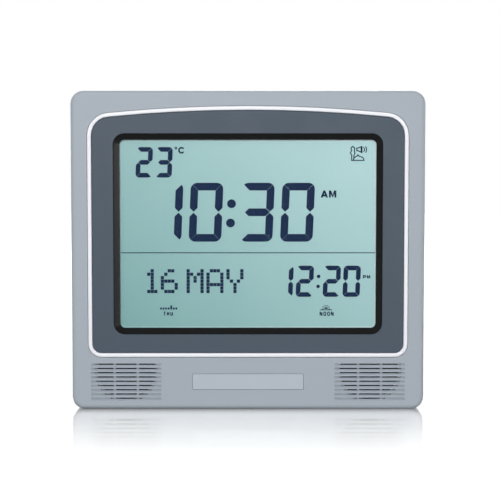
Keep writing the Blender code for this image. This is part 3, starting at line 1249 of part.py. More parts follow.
def build_batteries():
    """Three cells, and the plates and springs that put them in series."""
    half = CELL_LENGTH / 2
    nub_x = half + CELL_NUB_LENGTH
    cell = [
        (0, nub_x),
        (CELL_NUB_RADIUS, nub_x),
        (CELL_NUB_RADIUS, half),
        (CELL_RADIUS - CELL_EDGE, half),
        (CELL_RADIUS, half - CELL_EDGE),
        (CELL_RADIUS, CELL_EDGE - half),
        (CELL_RADIUS - CELL_EDGE, -half),
        (0, -half),
    ]
    mesh = turned_mesh("battery_cell", cell, CELL_SLEEVE)
    plate_inner = BAY_HALF_LENGTH - SEAT_GAP - CONTACT_THICKNESS
    middle = plate_inner - CONTACT_BUMP_HEIGHT - SEAT_GAP - nub_x
    heights = [BAY_Z + CELL_PITCH * (1 - i) for i in range(CELL_COUNT)]
    for i, z in enumerate(heights):
        side = 1 if i % 2 == 0 else -1
        turned(f"battery_cell_{i + 1}", mesh, (side * middle, CELL_Y, z), (side, 0, 0), CELL_STEPS)
    drop = plate_inner - (half - middle) - SEAT_GAP - SPRING_WIRE_RADIUS + SPRING_SINK
    groups = (
        ("battery_contact_upper_left", -1, ((0, "spring"), (1, "bump"))),
        ("battery_contact_lower_left", -1, ((2, "spring"),)),
        ("battery_contact_upper_right", 1, ((0, "bump"),)),
        ("battery_contact_lower_right", 1, ((1, "spring"), (2, "bump"))),
    )
    for name, side, ends in groups:
        low_z = min(heights[i] for i, _ in ends) - CONTACT_MARGIN
        high_z = max(heights[i] for i, _ in ends) + CONTACT_MARGIN
        inner = side * plate_inner
        outer = side * (plate_inner + CONTACT_THICKNESS)
        bm = bmesh.new()
        low = (min(inner, outer), CELL_Y - CONTACT_HEIGHT / 2, low_z)
        add_box(bm, low, (max(inner, outer), CELL_Y + CONTACT_HEIGHT / 2, high_z))
        plate = piece(name, bm, STEEL)
        for i, kind in ends:
            if kind == "bump":
                bump = bmesh.new()
                start = (inner + side * CONTACT_THICKNESS / 2, CELL_Y, heights[i])
                end = (inner - side * CONTACT_BUMP_HEIGHT, CELL_Y, heights[i])
                add_rod(bump, start, end, CONTACT_BUMP_RADIUS)
                join(plate, bump, f"{name}_bump")
            else:
                start = inner - side * (SPRING_WIRE_RADIUS - SPRING_SINK)
                place = (0, CELL_Y, heights[i])
                add_spring(plate, f"{name}_spring", start, -side, drop - SPRING_SINK, place)


def build_keys():
    """Five sprung keys, the slide switch, their board and its screws."""
    profile = (
        (-KEY_CROWN, KEY_TOP_Y),
        (0, KEY_TOP_Y - KEY_CROWN),
        (0, KEY_FLANGE_Y),
        (KEY_FLANGE, KEY_FLANGE_Y),
        (KEY_FLANGE, KEY_FLANGE_Y - KEY_FLANGE_THICKNESS),
        (-KEY_STEM_INSET, KEY_FLANGE_Y - KEY_FLANGE_THICKNESS),
        (-KEY_STEM_INSET, KEY_TIP_Y),
    )
    bm = bmesh.new()
    add_loft(bm, [at(key_outline(grow), y) for grow, y in profile])
    key = finished_mesh("rear_key", bm)
    size, button = TACT_HALF_SIZE, TACT_BUTTON_RADIUS
    body = rounded(-size, size, -size, size, TACT_RADIUS, steps=SLOT_STEPS)
    stud = rounded(-button, button, -button, button, button - MERGE, steps=SLOT_STEPS)
    body_y = TACT_Y + TACT_BODY_HEIGHT
    bm = bmesh.new()
    add_loft(bm, [at(body, TACT_Y), at(body, body_y), at(stud, body_y), at(stud, TACT_TOP_Y)])
    tact = finished_mesh("tact_switch", bm)
    for i, name in enumerate(KEY_NAMES):
        place = (KEY_FIRST_X + i * KEY_PITCH, 0, KEY_Z)
        piece(name, key, KEY_GREY, place)
        piece(f"tact_switch_{i + 1}", tact, CHIP_BLACK, place)

    bm = bmesh.new()
    low = (-KEY_BOARD_HALF_WIDTH, KEY_BOARD_Y, KEY_Z - KEY_BOARD_HALF_HEIGHT)
    add_box(bm, low, (KEY_BOARD_HALF_WIDTH, KEY_BOARD_BACK_Y, KEY_Z + KEY_BOARD_HALF_HEIGHT))
    board = piece("key_board", bm, BOARD_GREEN)
    holes = bmesh.new()
    for x in (-KEY_POST_X, KEY_POST_X):
        start = (x, KEY_BOARD_Y - OVERCUT, KEY_Z)
        add_rod(holes, start, (x, KEY_BOARD_BACK_Y + OVERCUT, KEY_Z), SMALL_SCREW_SHANK_RADIUS + SEAT_GAP)
    cut(board, holes, "key_board_holes")
    mesh = screw_mesh(
        "key_board_screw",
        SMALL_SCREW_HEAD_RADIUS,
        SMALL_SCREW_HEAD_HEIGHT,
        SMALL_SCREW_SHANK_RADIUS,
        SMALL_SCREW_LENGTH,
    )
    for i, x in enumerate((-KEY_POST_X, KEY_POST_X), 1):
        turned(f"key_board_screw_{i}", mesh, (x, KEY_BOARD_Y - SEAT_GAP, KEY_Z), (0, -1, 0), SCREW_STEPS)

    bm = bmesh.new()
    middle_x = KNOB_X + KNOB_TRAVEL / 2
    low = (middle_x - SWITCH_HALF_LENGTH, TACT_Y, KEY_Z - SWITCH_HALF_HEIGHT)
    add_box(bm, low, (middle_x + SWITCH_HALF_LENGTH, TACT_Y + TACT_BODY_HEIGHT, KEY_Z + SWITCH_HALF_HEIGHT))
    piece("switch_body", bm, STEEL)

    cap, stem = (KNOB_HALF_LENGTH, KNOB_HALF_HEIGHT), (KNOB_STEM_HALF_LENGTH, KNOB_STEM_HALF_HEIGHT)
    profile = (
        (cap, -KNOB_EDGE, KEY_TOP_Y),
        (cap, 0, KEY_TOP_Y - KNOB_EDGE),
        (cap, 0, KEY_PAN_Y + SEAT_GAP),
        (stem, 0, KEY_PAN_Y + SEAT_GAP),
        (stem, 0, TACT_Y + TACT_BODY_HEIGHT + SEAT_GAP),
    )
    bm = bmesh.new()
    rings = []
    for (half_length, half_height), grow, y in profile:
        length, height = half_length + grow, half_height + grow
        rings.append(at(rounded(-length, length, -height, height, KNOB_RADIUS, steps=2), y))
    add_loft(bm, rings)
    piece("sound_switch_knob", bm, KEY_GREY, (KNOB_X, 0, KEY_Z))


def build_ribbon():
    """The flat cable from the main board up to the key board, in one smooth S."""
    bm = bmesh.new()
    low_y, high_y = PART_SEAT_Y, KEY_BOARD_Y - SEAT_GAP
    rings = []
    for i in range(RIBBON_STEPS + 1):
        share = i / RIBBON_STEPS
        ease = (1 - math.cos(math.pi * share)) / 2
        y = low_y + (high_y - low_y) * share
        z = RIBBON_LOW_Z + (RIBBON_HIGH_Z - RIBBON_LOW_Z) * ease
        left, right = RIBBON_X - RIBBON_HALF_WIDTH, RIBBON_X + RIBBON_HALF_WIDTH
        low, high = z - RIBBON_THICKNESS / 2, z + RIBBON_THICKNESS / 2
        rings.append([(right, y, low), (right, y, high), (left, y, high), (left, y, low)])
    add_loft(bm, rings)
    piece("ribbon_cable", bm, RIBBON_GREY)


def build_case_screws():
    """Four screws from the back, deep in the cover's tubes."""
    mesh = screw_mesh("case_screw", SCREW_HEAD_RADIUS, SCREW_HEAD_HEIGHT, SCREW_SHANK_RADIUS, SCREW_LENGTH)
    for i, (x, z) in enumerate(corners(SCREW_X, SCREW_LOW_Z, SCREW_HIGH_Z), 1):
        turned(f"case_screw_{i}", mesh, (x, HEAD_Y, z), (0, 1, 0), SMALL_STEPS)


def shade():
    """Round faces shade smooth, and the edges between unlike faces stay sharp."""
    for obj in CLOCK.objects:
        if obj.type == "MESH" and not obj.modifiers.get("turn"):
            obj.data.shade_smooth()
            obj.data.set_sharp_from_angle(angle=math.radians(SHARP_EDGE_DEG))


def main():
    build_front_bezel()
    build_trim_and_fascia()
    build_display()
    build_main_board()
    build_speakers()
    build_rear_cover()
    build_stand_leg()
    build_battery_door()
    build_batteries()
    build_keys()
    build_ribbon()
    build_case_screws()
    shade()


main()
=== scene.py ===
"""Azan clock: fine shells, a segment display and finishes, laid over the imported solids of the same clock."""

import math

import bmesh
import bpy
from bpy.props import FloatProperty, FloatVectorProperty, PointerProperty
from bpy.types import Operator, Panel, PropertyGroup
from mathutils import Matrix, Vector


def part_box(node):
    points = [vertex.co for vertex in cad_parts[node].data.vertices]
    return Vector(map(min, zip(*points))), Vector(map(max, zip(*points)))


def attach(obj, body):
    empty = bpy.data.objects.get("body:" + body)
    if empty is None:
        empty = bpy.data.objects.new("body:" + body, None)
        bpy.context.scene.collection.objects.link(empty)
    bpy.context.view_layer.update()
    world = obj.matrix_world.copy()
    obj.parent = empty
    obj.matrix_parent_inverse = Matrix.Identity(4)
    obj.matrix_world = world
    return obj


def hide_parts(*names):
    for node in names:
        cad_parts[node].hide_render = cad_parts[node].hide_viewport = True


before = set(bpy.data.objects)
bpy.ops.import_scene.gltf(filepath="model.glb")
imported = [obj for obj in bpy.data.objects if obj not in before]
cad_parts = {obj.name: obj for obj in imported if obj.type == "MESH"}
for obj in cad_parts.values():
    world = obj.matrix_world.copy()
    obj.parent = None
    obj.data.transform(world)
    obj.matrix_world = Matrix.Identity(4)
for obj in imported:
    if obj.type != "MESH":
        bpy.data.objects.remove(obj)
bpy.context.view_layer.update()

bl_info = {
    "name": "Azan Clock",
    "version": (1, 0, 0),
    "blender": (4, 5, 0),
    "location": "View3D > Sidebar > Clock",
    "description": "Dresses the solids of an azan clock with soft edges, a segment display and finishes",
    "category": "Add Mesh",
}

MM = 0.001
CASE = "case"
MERGE = 0.000002
CREASE_DEG = 32.0
SMOOTH_DEG = 50.0

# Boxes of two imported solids, and the depth of the key pan's floor

CASE_LOW, CASE_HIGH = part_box("front_bezel")
LCD_LOW, LCD_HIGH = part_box("lcd_cell")
PAN_FLOOR_Y = 17.6 * MM


def mm(*values):
    """Numbers given in millimetres, in metres."""
    return tuple(value * MM for value in values)


class ClockFinish(PropertyGroup):
    """Colours of the mouldings, the display and its marks"""

    silver: FloatVectorProperty(
        name="Silver", description="Satin moulding of both shells", subtype="COLOR",
        default=(0.409, 0.457, 0.511), min=0, max=1)
    slate: FloatVectorProperty(
        name="Slate", description="Panel round the display", subtype="COLOR",
        default=(0.064, 0.087, 0.117), min=0, max=1)
    trim: FloatVectorProperty(
        name="Trim", description="Bead round the panel", subtype="COLOR",
        default=(0.93, 0.945, 1.0), min=0, max=1)
    surround: FloatVectorProperty(
        name="Surround", description="Sloping frame of the display", subtype="COLOR",
        default=(0.0055, 0.0055, 0.0062), min=0, max=1)
    # Two ends of the display's painted sheen: painted shade low on the left, painted light high on the right
    display_sheen_dark: FloatVectorProperty(
        name="Display shade", description="Reflective display, low and left", subtype="COLOR",
        default=(0.214, 0.440, 0.434), min=0, max=1)
    display_sheen_pale: FloatVectorProperty(
        name="Display light", description="Reflective display, high and right", subtype="COLOR",
        default=(0.490, 0.755, 0.768), min=0, max=1)
    # Painted highlight of the glass edge, laid as a pale rim on the display
    rim: FloatVectorProperty(
        name="Display rim", description="Thin pale rim of the display", subtype="COLOR",
        default=(0.74, 0.86, 0.88), min=0, max=1)
    ink: FloatVectorProperty(
        name="Ink", description="Segments of the display", subtype="COLOR",
        default=(0.006, 0.021, 0.067), min=0, max=1)
    keys: FloatVectorProperty(
        name="Keys", description="Keys and knob on the back", subtype="COLOR",
        default=(0.13, 0.14, 0.16), min=0, max=1)
    marks: FloatVectorProperty(
        name="Painted marks", description="Marks of the keys and the switch", subtype="COLOR",
        default=(0.76, 0.78, 0.80), min=0, max=1)
    sleeve: FloatVectorProperty(
        name="Cell sleeve", description="Sleeve of the battery cells", subtype="COLOR",
        default=(0.035, 0.06, 0.13), min=0, max=1)
    band: FloatVectorProperty(
        name="Cell band", description="Band of the cells, towards the nub", subtype="COLOR",
        default=(0.55, 0.34, 0.10), min=0, max=1)


class ClockEdges(PropertyGroup):
    """Widths of the softened edges"""

    shell: FloatProperty(
        name="Shell edge", description="Softened edge of the shells", unit="LENGTH", default=0.00012,
        min=0)
    panel: FloatProperty(
        name="Panel edge", description="Softened edge of panels and trim", unit="LENGTH",
        default=0.00015, min=0)
    seam: FloatProperty(
        name="Seam fill", description="How far the bead reaches into the seam beside it", unit="LENGTH",
        default=0.00022, min=0)
    small: FloatProperty(
        name="Small edge", description="Softened edge of small fittings", unit="LENGTH",
        default=0.00010, min=0)


class ClockDisplay(PropertyGroup):
    """Sizes of the display's marks"""

    ink_thickness: FloatProperty(
        name="Ink thickness", description="Thickness of the marks on the display", unit="LENGTH",
        default=0.00008, min=0)
    ink_lift: FloatProperty(
        name="Ink lift", description="Gap between the marks and the glass", unit="LENGTH",
        default=0.00002, min=0)
    # Width of the pale rim of painted highlight
    rim_width: FloatProperty(
        name="Rim width", description="Width of the display's pale rim", unit="LENGTH", default=0.0008,
        min=0)
    slant: FloatProperty(
        name="Slant", description="Lean of the figures", unit="ROTATION", default=math.radians(2.4))
    segment_gap: FloatProperty(
        name="Segment gap", description="Gap between two segments", unit="LENGTH", default=0.00009, min=0)
    corner_share: FloatProperty(
        name="Corner", description="Outer corner radius of a figure, as a share of its bar", default=0.85,
        subtype="FACTOR", min=0, max=1)


class ClockStage(PropertyGroup):
    """Camera, floor and lamps"""

    camera_distance: FloatProperty(
        name="Camera distance", description="From the lens to the face", unit="LENGTH", default=0.90, min=0.1)
    camera_rise: FloatProperty(
        name="Camera rise", description="Height angle of the camera", unit="ROTATION",
        default=math.radians(3.5))
    camera_span: FloatProperty(
        name="Camera span", description="Width of view at the face", unit="LENGTH", default=0.339, min=0.01)
    key_power: FloatProperty(
        name="Key lamp", description="Power of the key lamp", unit="POWER", default=24.5)
    fill_power: FloatProperty(
        name="Fill lamp", description="Power of the fill lamp", unit="POWER", default=10.0)
    side_power: FloatProperty(
        name="Side card", description="Power of the side card", unit="POWER", default=12.0)
    back_power: FloatProperty(
        name="Back lamp", description="Power of the back lamp", unit="POWER", default=13.0)
    flank_power: FloatProperty(
        name="Flank lamps", description="Power of each lamp behind the sides", unit="POWER", default=6.5)


def settings(group):
    """One of the scene's property groups, by its name."""
    return getattr(bpy.context.scene, "clock_" + group)


# Node materials


def set_inputs(tree, node, inputs):
    """Give a node's inputs, by name or number, their links, numbers, vectors or colours."""
    for name, value in inputs.items():
        socket = node.inputs[name]
        if isinstance(value, bpy.types.NodeSocket):
            tree.links.new(value, socket)
        else:
            socket.default_value = (*value, 1) if socket.type == "RGBA" else value


def add_node(tree, kind, inputs, **options):
    """A new node with its options and its inputs."""
    node = tree.nodes.new(kind)
    for name, value in options.items():
        setattr(node, name, value)
    set_inputs(tree, node, inputs)
    return node


def principled(name, colour, roughness, metallic=0.0, coat=0.0, specular=0.5):
    """A new node material: its tree, its shader and its Object coordinates."""
    look = bpy.data.materials.new(name)
    look.use_nodes = True
    tree = look.node_tree
    shader = tree.nodes["Principled BSDF"]
    set_inputs(tree, shader, {
        "Base Color": colour, "Roughness": roughness, "Metallic": metallic, "Coat Weight": coat,
        "Specular IOR Level": specular})
    place = tree.nodes.new("ShaderNodeTexCoord").outputs["Object"]
    return look, tree, shader, place


def noise(tree, place, scale, detail=2.0):
    """Noise of that many cells a metre."""
    inputs = {"Vector": place, "Scale": scale, "Detail": detail}
    return add_node(tree, "ShaderNodeTexNoise", inputs).outputs["Fac"]


def ranged(tree, value, low, high, from_low=0.3, from_high=0.7):
    """A value spread between two limits."""
    inputs = {"Value": value, "From Min": from_low, "From Max": from_high, "To Min": low, "To Max": high}
    return add_node(tree, "ShaderNodeMapRange", inputs).outputs["Result"]


def sum_of(tree, operation, *values):
    """The result of one sum; each value is a socket or a number."""
    inputs = dict(enumerate(values))
    return add_node(tree, "ShaderNodeMath", inputs, operation=operation).outputs["Value"]


def axis_of(tree, vector, axis):
    """One axis of a vector."""
    return add_node(tree, "ShaderNodeSeparateXYZ", {"Vector": vector}).outputs[axis]


def blended(tree, share, first, second):
    """Two colours mixed by a share; each of the three may be a socket."""
    inputs = {"Factor": share, "A": first, "B": second}
    return add_node(tree, "ShaderNodeMix", inputs, data_type="RGBA").outputs["Result"]


def tinted(colour, share):
    """A colour made darker or lighter by a share."""
    return tuple(min(1.0, channel * (1 + share)) for channel in colour)


def add_grain(tree, shader, place, scale, depth):
    """Fine moulded grain in the surface."""
    height = noise(tree, place, scale, detail=3.0)
    bump = add_node(tree, "ShaderNodeBump", {"Distance": depth, "Strength": 1.0, "Height": height})
    tree.links.new(bump.outputs["Normal"], shader.inputs["Normal"])


def moulded(name, colour, roughness, grain_scale=2600, grain_depth=0.000004, spread=0.03, tone=0.02, **more):
    """Moulded plastic: a fleck in its colour, a slow change of tone, uneven gloss and a fine grain."""
    look, tree, shader, place = principled(name, colour, roughness, **more)
    fleck = ranged(tree, noise(tree, place, grain_scale * 1.3), 0, 1)
    drift = ranged(tree, noise(tree, place, scale=14), 0, 1)
    flecked = blended(tree, fleck, tinted(colour, -spread), tinted(colour, spread))
    drifted = blended(tree, drift, tinted(colour, -tone), tinted(colour, tone))
    gloss = noise(tree, place, scale=60, detail=4.0)
    set_inputs(tree, shader, {
        "Base Color": blended(tree, 0.5, flecked, drifted),
        "Roughness": ranged(tree, gloss, roughness - 0.04, roughness + 0.05)})
    add_grain(tree, shader, place, grain_scale, grain_depth)
    return look


# Shares of the display's painted sheen across and up: painted shade low on the left, painted light high on the
# right

SHEEN_ACROSS, SHEEN_UP = 0.62, 0.38


def painted_sheen_share(tree, place):
    """Share of painted sheen that grows over the display from low on the left to high on the right."""
    mapping = add_node(tree, "ShaderNodeMapping", {
        "Vector": place, "Location": (LCD_LOW.x, 0, LCD_LOW.z),
        "Scale": (LCD_HIGH.x - LCD_LOW.x, 1, LCD_HIGH.z - LCD_LOW.z)}, vector_type="TEXTURE")
    x, z = (axis_of(tree, mapping.outputs["Vector"], axis) for axis in "XZ")
    return sum_of(tree, "MULTIPLY_ADD", z, SHEEN_UP, sum_of(tree, "MULTIPLY", x, SHEEN_ACROSS))


def display_glass():
    """Reflective display under a painted sheen: painted shade low on the left, painted light high on the
    right, with a faint cloudiness.
    """
    finish = settings("finish")
    look, tree, shader, place = principled("display_glass", finish.display_sheen_dark, 0.35, specular=0.3)
    # Painted light: the display's tone slopes from painted shade to painted light across it
    painted_sheen = blended(tree, painted_sheen_share(tree, place), finish.display_sheen_dark, finish.display_sheen_pale)
    cloud = ranged(tree, noise(tree, place, scale=30), 0, 0.06)
    clouded = blended(tree, cloud, painted_sheen, tinted(finish.display_sheen_dark, -0.2))
    tree.links.new(clouded, shader.inputs["Base Color"])
    add_grain(tree, shader, place, scale=4000, depth=0.000002)
    return look


def rim_highlight_look():
    """Painted highlight round the display's edge, with the same painted sheen."""
    finish = settings("finish")
    look, tree, shader, place = principled("display_rim_highlight", finish.rim, 0.5, specular=0.3)
    painted_sheen = blended(tree, painted_sheen_share(tree, place), tinted(finish.display_sheen_dark, 0.1), finish.rim)
    flecked = ranged(tree, noise(tree, place, scale=900), 0, 0.08)
    tree.links.new(blended(tree, flecked, painted_sheen, (1, 1, 1)), shader.inputs["Base Color"])
    add_grain(tree, shader, place, scale=3000, depth=0.000003)
    return look


def clear_window():
    """Clear plastic pane with a faint unevenness."""
    look, tree, shader, place = principled("clear_window", (0.02, 0.03, 0.03), 0.04, specular=0.17)
    uneven = ranged(tree, noise(tree, place, scale=80), 0.02, 0.07)
    set_inputs(tree, shader, {"Alpha": 0.02, "Roughness": uneven})
    look.surface_render_method = "BLENDED"
    return look


def plated(name, colour, roughness):
    """Plated metal with fine drawn marks."""
    look, tree, shader, place = principled(name, colour, roughness, metallic=1.0)
    drawn = add_node(tree, "ShaderNodeMapping", {"Vector": place, "Scale": (1, 1, 9)}).outputs["Vector"]
    marks = noise(tree, drawn, scale=1500, detail=3.0)
    dull = ranged(tree, noise(tree, place, scale=300), 0, 1)
    set_inputs(tree, shader, {
        "Base Color": blended(tree, dull, tinted(colour, -0.12), colour),
        "Roughness": ranged(tree, marks, roughness - 0.08, roughness + 0.10)})
    add_grain(tree, shader, drawn, scale=1500, depth=0.000002)
    return look


def solder_resist():
    """Green board with darker copper runs under the resist."""
    green, run = (0.03, 0.18, 0.08), (0.02, 0.11, 0.05)
    look, tree, shader, place = principled("solder_resist", green, 0.3, coat=0.3)
    turned = add_node(tree, "ShaderNodeMapping", {"Vector": place, "Rotation": (math.radians(90), 0, 0)})
    runs = add_node(tree, "ShaderNodeTexBrick", {
        "Vector": turned.outputs["Vector"], "Scale": 160, "Mortar Size": 0.06, "Color1": green,
        "Color2": tinted(green, 0.15), "Mortar": run})
    tree.links.new(runs.outputs["Color"], shader.inputs["Base Color"])
    add_grain(tree, shader, place, scale=900, depth=0.000004)
    return look


def make_looks():
    """Every finish of the clock, by the record's slot."""
    finish = settings("finish")
    return {
        "silver_case": moulded("silver_case", finish.silver, 0.42, specular=0.15, spread=0.05),
        "slate_panel": moulded("slate_panel", finish.slate, 0.45, specular=0.2),
        "white_trim": moulded("white_trim", finish.trim, 0.3, specular=0.25, spread=0.01, tone=0.01),
        "black_surround": moulded("black_surround", finish.surround, 0.3, specular=0.10),
        "clear_window": clear_window(),
        "lcd_glass": display_glass(),
        "white_plastic": moulded("white_plastic", (0.80, 0.80, 0.78), 0.5),
        "contact_rubber": moulded("contact_rubber", (0.60, 0.35, 0.33), 0.7, grain_scale=1500),
        "circuit_board": solder_resist(),
        "chip_black": moulded("chip_black", (0.02, 0.02, 0.02), 0.55),
        "bright_steel": plated("bright_steel", (0.60, 0.60, 0.60), 0.28),
        "cone_paper": moulded(
            "cone_paper", (0.015, 0.015, 0.017), 0.85, grain_scale=1200, grain_depth=0.00003, spread=0.3),
        "ferrite": moulded(
            "ferrite", (0.05, 0.05, 0.055), 0.6, grain_scale=1500, grain_depth=0.00002, spread=0.15,
            metallic=0.3),
        "cell_sleeve": moulded("cell_sleeve", finish.sleeve, 0.3, coat=0.4),
        "key_plastic": moulded("key_plastic", finish.keys, 0.5),
        "ribbon_grey": moulded("ribbon_grey", (0.45, 0.46, 0.48), 0.45),
    }


LOOKS = {}

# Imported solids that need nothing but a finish, by the slot that it comes from

SLOT_NODES = {
    "white_plastic": ["display_frame", "light_guide"],
    "contact_rubber": ["zebra_strip_lower", "zebra_strip_upper"],
    "circuit_board": ["main_board", "key_board", "backlight_strip"],
    "chip_black": ["controller_blob", "memory_chip", "amplifier_chip", "reservoir_capacitor", "switch_body"]
    + [f"tact_switch_{n}" for n in range(1, 6)],
    "bright_steel": ["quartz_crystal", "speaker_frame_left", "speaker_frame_right"],
    "ferrite": ["speaker_magnet_left", "speaker_magnet_right"],
    "ribbon_grey": ["ribbon_cable"],
    "lcd_glass": ["lcd_cell"],
}


# Modelling helpers


def add_object(name, data):
    """A new object in the scene."""
    added = bpy.data.objects.new(name, data)
    bpy.context.scene.collection.objects.link(added)
    return added


def mesh_of(name, bm):
    """A mesh of a bmesh, which is freed."""
    mesh = bpy.data.meshes.new(name)
    bm.to_mesh(mesh)
    bm.free()
    return mesh


def shade_and_ride(name, bm, slot, body=CASE, replaced=(), look=None):
    """Make a finished piece of a bmesh: smooth with its creases kept, riding its body."""
    mesh = mesh_of(name, bm)
    mesh.shade_smooth()
    mesh.set_sharp_from_angle(angle=math.radians(SMOOTH_DEG))
    mesh.materials.append(look or LOOKS[slot])
    piece = add_object(name, mesh)
    piece.modifiers.new("even_shading", "WEIGHTED_NORMAL").keep_sharp = True
    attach(piece, body)
    if replaced:
        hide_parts(*replaced)
    return piece


def merged_copy(node):
    """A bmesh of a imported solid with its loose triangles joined."""
    bm = bmesh.new()
    bm.from_mesh(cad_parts[node].data)
    bmesh.ops.remove_doubles(bm, verts=bm.verts, dist=MERGE)
    return bm


def soften_edges(bm, width):
    """Round every crease of a shape by a small width."""
    creases = [e for e in bm.edges if e.is_manifold and e.calc_face_angle() > math.radians(CREASE_DEG)]
    bmesh.ops.bevel(
        bm, geom=creases, offset=width, offset_type="OFFSET", affect="EDGES", segments=2,
        profile=0.5, material=-1, clamp_overlap=False, loop_slide=False)
    bmesh.ops.remove_doubles(bm, verts=bm.verts, dist=MERGE)


# Least sideways share of a normal on a ring's outer or inner side

SIDEWAYS = 0.05


def spread_ring(bm, outward, inward):
    """Widen a flat ring round the display into the seams beside it, on its outer and its inner side."""
    low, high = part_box("lcd_surround")
    middle = (low + high) / 2
    bm.normal_update()
    shifts = []
    for vert in bm.verts:
        flat = Vector((vert.normal.x, 0, vert.normal.z))
        if flat.length > SIDEWAYS:
            outer = flat.dot(vert.co - middle) > 0
            shifts.append((vert, flat.normalized() * (outward if outer else inward)))
    for vert, shift in shifts:
        vert.co += shift


def softened(node, width, slot, body=CASE, look=None, spread=None):
    """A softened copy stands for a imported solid; a ring may be spread outward and inward first."""
    bm = merged_copy(node)
    if spread:
        spread_ring(bm, *spread)
    soften_edges(bm, width)
    return shade_and_ride(node + "_skin", bm, slot, body, [node], look)


# Display marks

# The bars of each figure by letter: a is the top bar, b to f follow it clockwise, g lies in the middle

FIGURE_BARS = {"0": "abcdef", "1": "bc", "2": "abged", "3": "abgcd"}

# Rows of figures in millimetres: each figure with its middle across the display, the height of that middle,
# half a figure's width and height with the width of its bars, and a colon's dots, each with its radius

FIGURE_ROWS = {
    "time": {
        "figures": (("1", -55.75), ("0", -28.54), ("3", 6.35), ("0", 33.76)), "middle": 134.43,
        "sizes": (11.15, 20.08, 5.3), "dots": ((-11.19, 140.24, 3.0), (-11.88, 127.10, 3.0)),
    },
    "temperature": {
        "figures": (("2", -70.45), ("3", -57.02)), "middle": 168.35,
        "sizes": (5.66, 10.37, 3.25), "dots": (),
    },
    "second_time": {
        "figures": (("1", 24.99), ("2", 38.84), ("2", 57.26), ("0", 70.84)), "middle": 87.30,
        "sizes": (5.92, 10.72, 3.25), "dots": ((48.23, 90.62, 1.22), (47.90, 83.77, 1.22)),
    },
}


def heading(angle):
    """A direction in the plane of the display, its angle in degrees."""
    turn = math.radians(angle)
    return Vector((math.cos(turn), math.sin(turn)))


def bar_outlines(half_width, half_height, thickness, radius, waist):
    """The outlines of the seven bars of a figure, by letter."""
    def flipped(points, x, y):
        return [Vector((p.x * x, p.y * y)) for p in points]

    centre = Vector((half_width - radius, half_height - radius))
    arc = [centre + radius * heading(angle) for angle in range(90, -1, -15)]
    upper, lower = arc[:4], arc[3:]
    half = thickness / 2
    side, line, shoulder = half_width - thickness, half_width - half, half + waist
    inner = Vector((side, half_height - thickness))
    right_top = [
        inner, *lower, Vector((half_width, shoulder)), Vector((line, waist)), Vector((side, shoulder))]
    top = flipped(reversed(upper), -1, 1) + upper + [inner, *flipped([inner], -1, 1)]
    middle = [Vector((side, half)), Vector((line, 0)), Vector((side, -half))]
    middle += flipped(middle, -1, -1)
    return {
        "a": top, "b": right_top, "c": flipped(right_top, 1, -1), "d": flipped(top, 1, -1),
        "e": flipped(right_top, -1, -1), "f": flipped(right_top, -1, 1), "g": middle,
    }


def add_flat(bm, points):
    """A flat face on the display, its points given as x and z."""
    face = bm.faces.new([bm.verts.new((p[0], 0, p[1])) for p in points])
    face.normal_update()
    return face


def add_figure(bm, character, centre, half_width, half_height, thickness):
    """One leaning figure of bars, with a hairline gap between the bars."""
    display = settings("display")
    radius = display.corner_share * thickness
    outlines = bar_outlines(half_width, half_height, thickness, radius, waist=thickness / 20)
    lean = math.tan(display.slant)
    faces = []
    for letter in FIGURE_BARS[character]:
        points = [(centre[0] + p.x + p.y * lean, centre[1] + p.y) for p in outlines[letter]]
        faces.append(add_flat(bm, points))
    rims = bmesh.ops.inset_individual(
        bm, faces=faces, thickness=display.segment_gap / 2, use_even_offset=True)
    bmesh.ops.delete(bm, geom=rims["faces"], context="FACES")


def add_dot(bm, centre, radius):
    """One round dot on the display."""
    turn = Matrix.Rotation(math.radians(90), 4, "X")
    place = Matrix.Translation((centre[0], 0, centre[1])) @ turn
    bmesh.ops.create_circle(bm, cap_ends=True, segments=24, radius=radius, matrix=place)


def add_figure_row(bm, name):
    """One row of figures with its colon."""
    row = FIGURE_ROWS[name]
    for character, x in row["figures"]:
        add_figure(bm, character, mm(x, row["middle"]), *mm(*row["sizes"]))
    for x, z, radius in row["dots"]:
        add_dot(bm, mm(x, z), radius * MM)


def add_bar(bm, low, high):
    """One upright rectangle on the display, given by two corners."""
    return add_flat(bm, [(low[0], low[1]), (high[0], low[1]), (high[0], high[1]), (low[0], high[1])])


# Letters of square dots, and the date that they spell: each letter with its left side in millimetres, the
# top of the row, the pitch of the dots and their size

DOT_LETTERS = {
    "1": (".#.", "##.", ".#.", ".#.", ".#.", ".#.", "###"),
    "6": ("..##.", ".#...", "#....", "####.", "#...#", "#...#", ".###."),
    "M": ("#...#", "##.##", "#.#.#", "#.#.#", "#...#", "#...#", "#...#"),
    "A": (".###.", "#...#", "#...#", "#...#", "#####", "#...#", "#...#"),
    "Y": ("#...#", "#...#", "#...#", ".#.#.", "..#..", "..#..", "..#.."),
}
DATE_LETTERS = (("1", -68.84), ("6", -59.55), ("M", -41.92), ("A", -28.39), ("Y", -14.73))
DATE_TOP, DOT_PITCH, DOT_SIZE = mm(95.60, 2.365, 2.22)


def add_dot_letter(bm, character, left):
    """One letter of square dots."""
    for row, line in enumerate(DOT_LETTERS[character]):
        for column, mark in enumerate(line):
            if mark == "#":
                x, z = left + column * DOT_PITCH, DATE_TOP - row * DOT_PITCH
                add_bar(bm, (x, z - DOT_SIZE), (x + DOT_SIZE, z))


# Strokes of plain letters in a cell that runs from 0 to 1 both ways

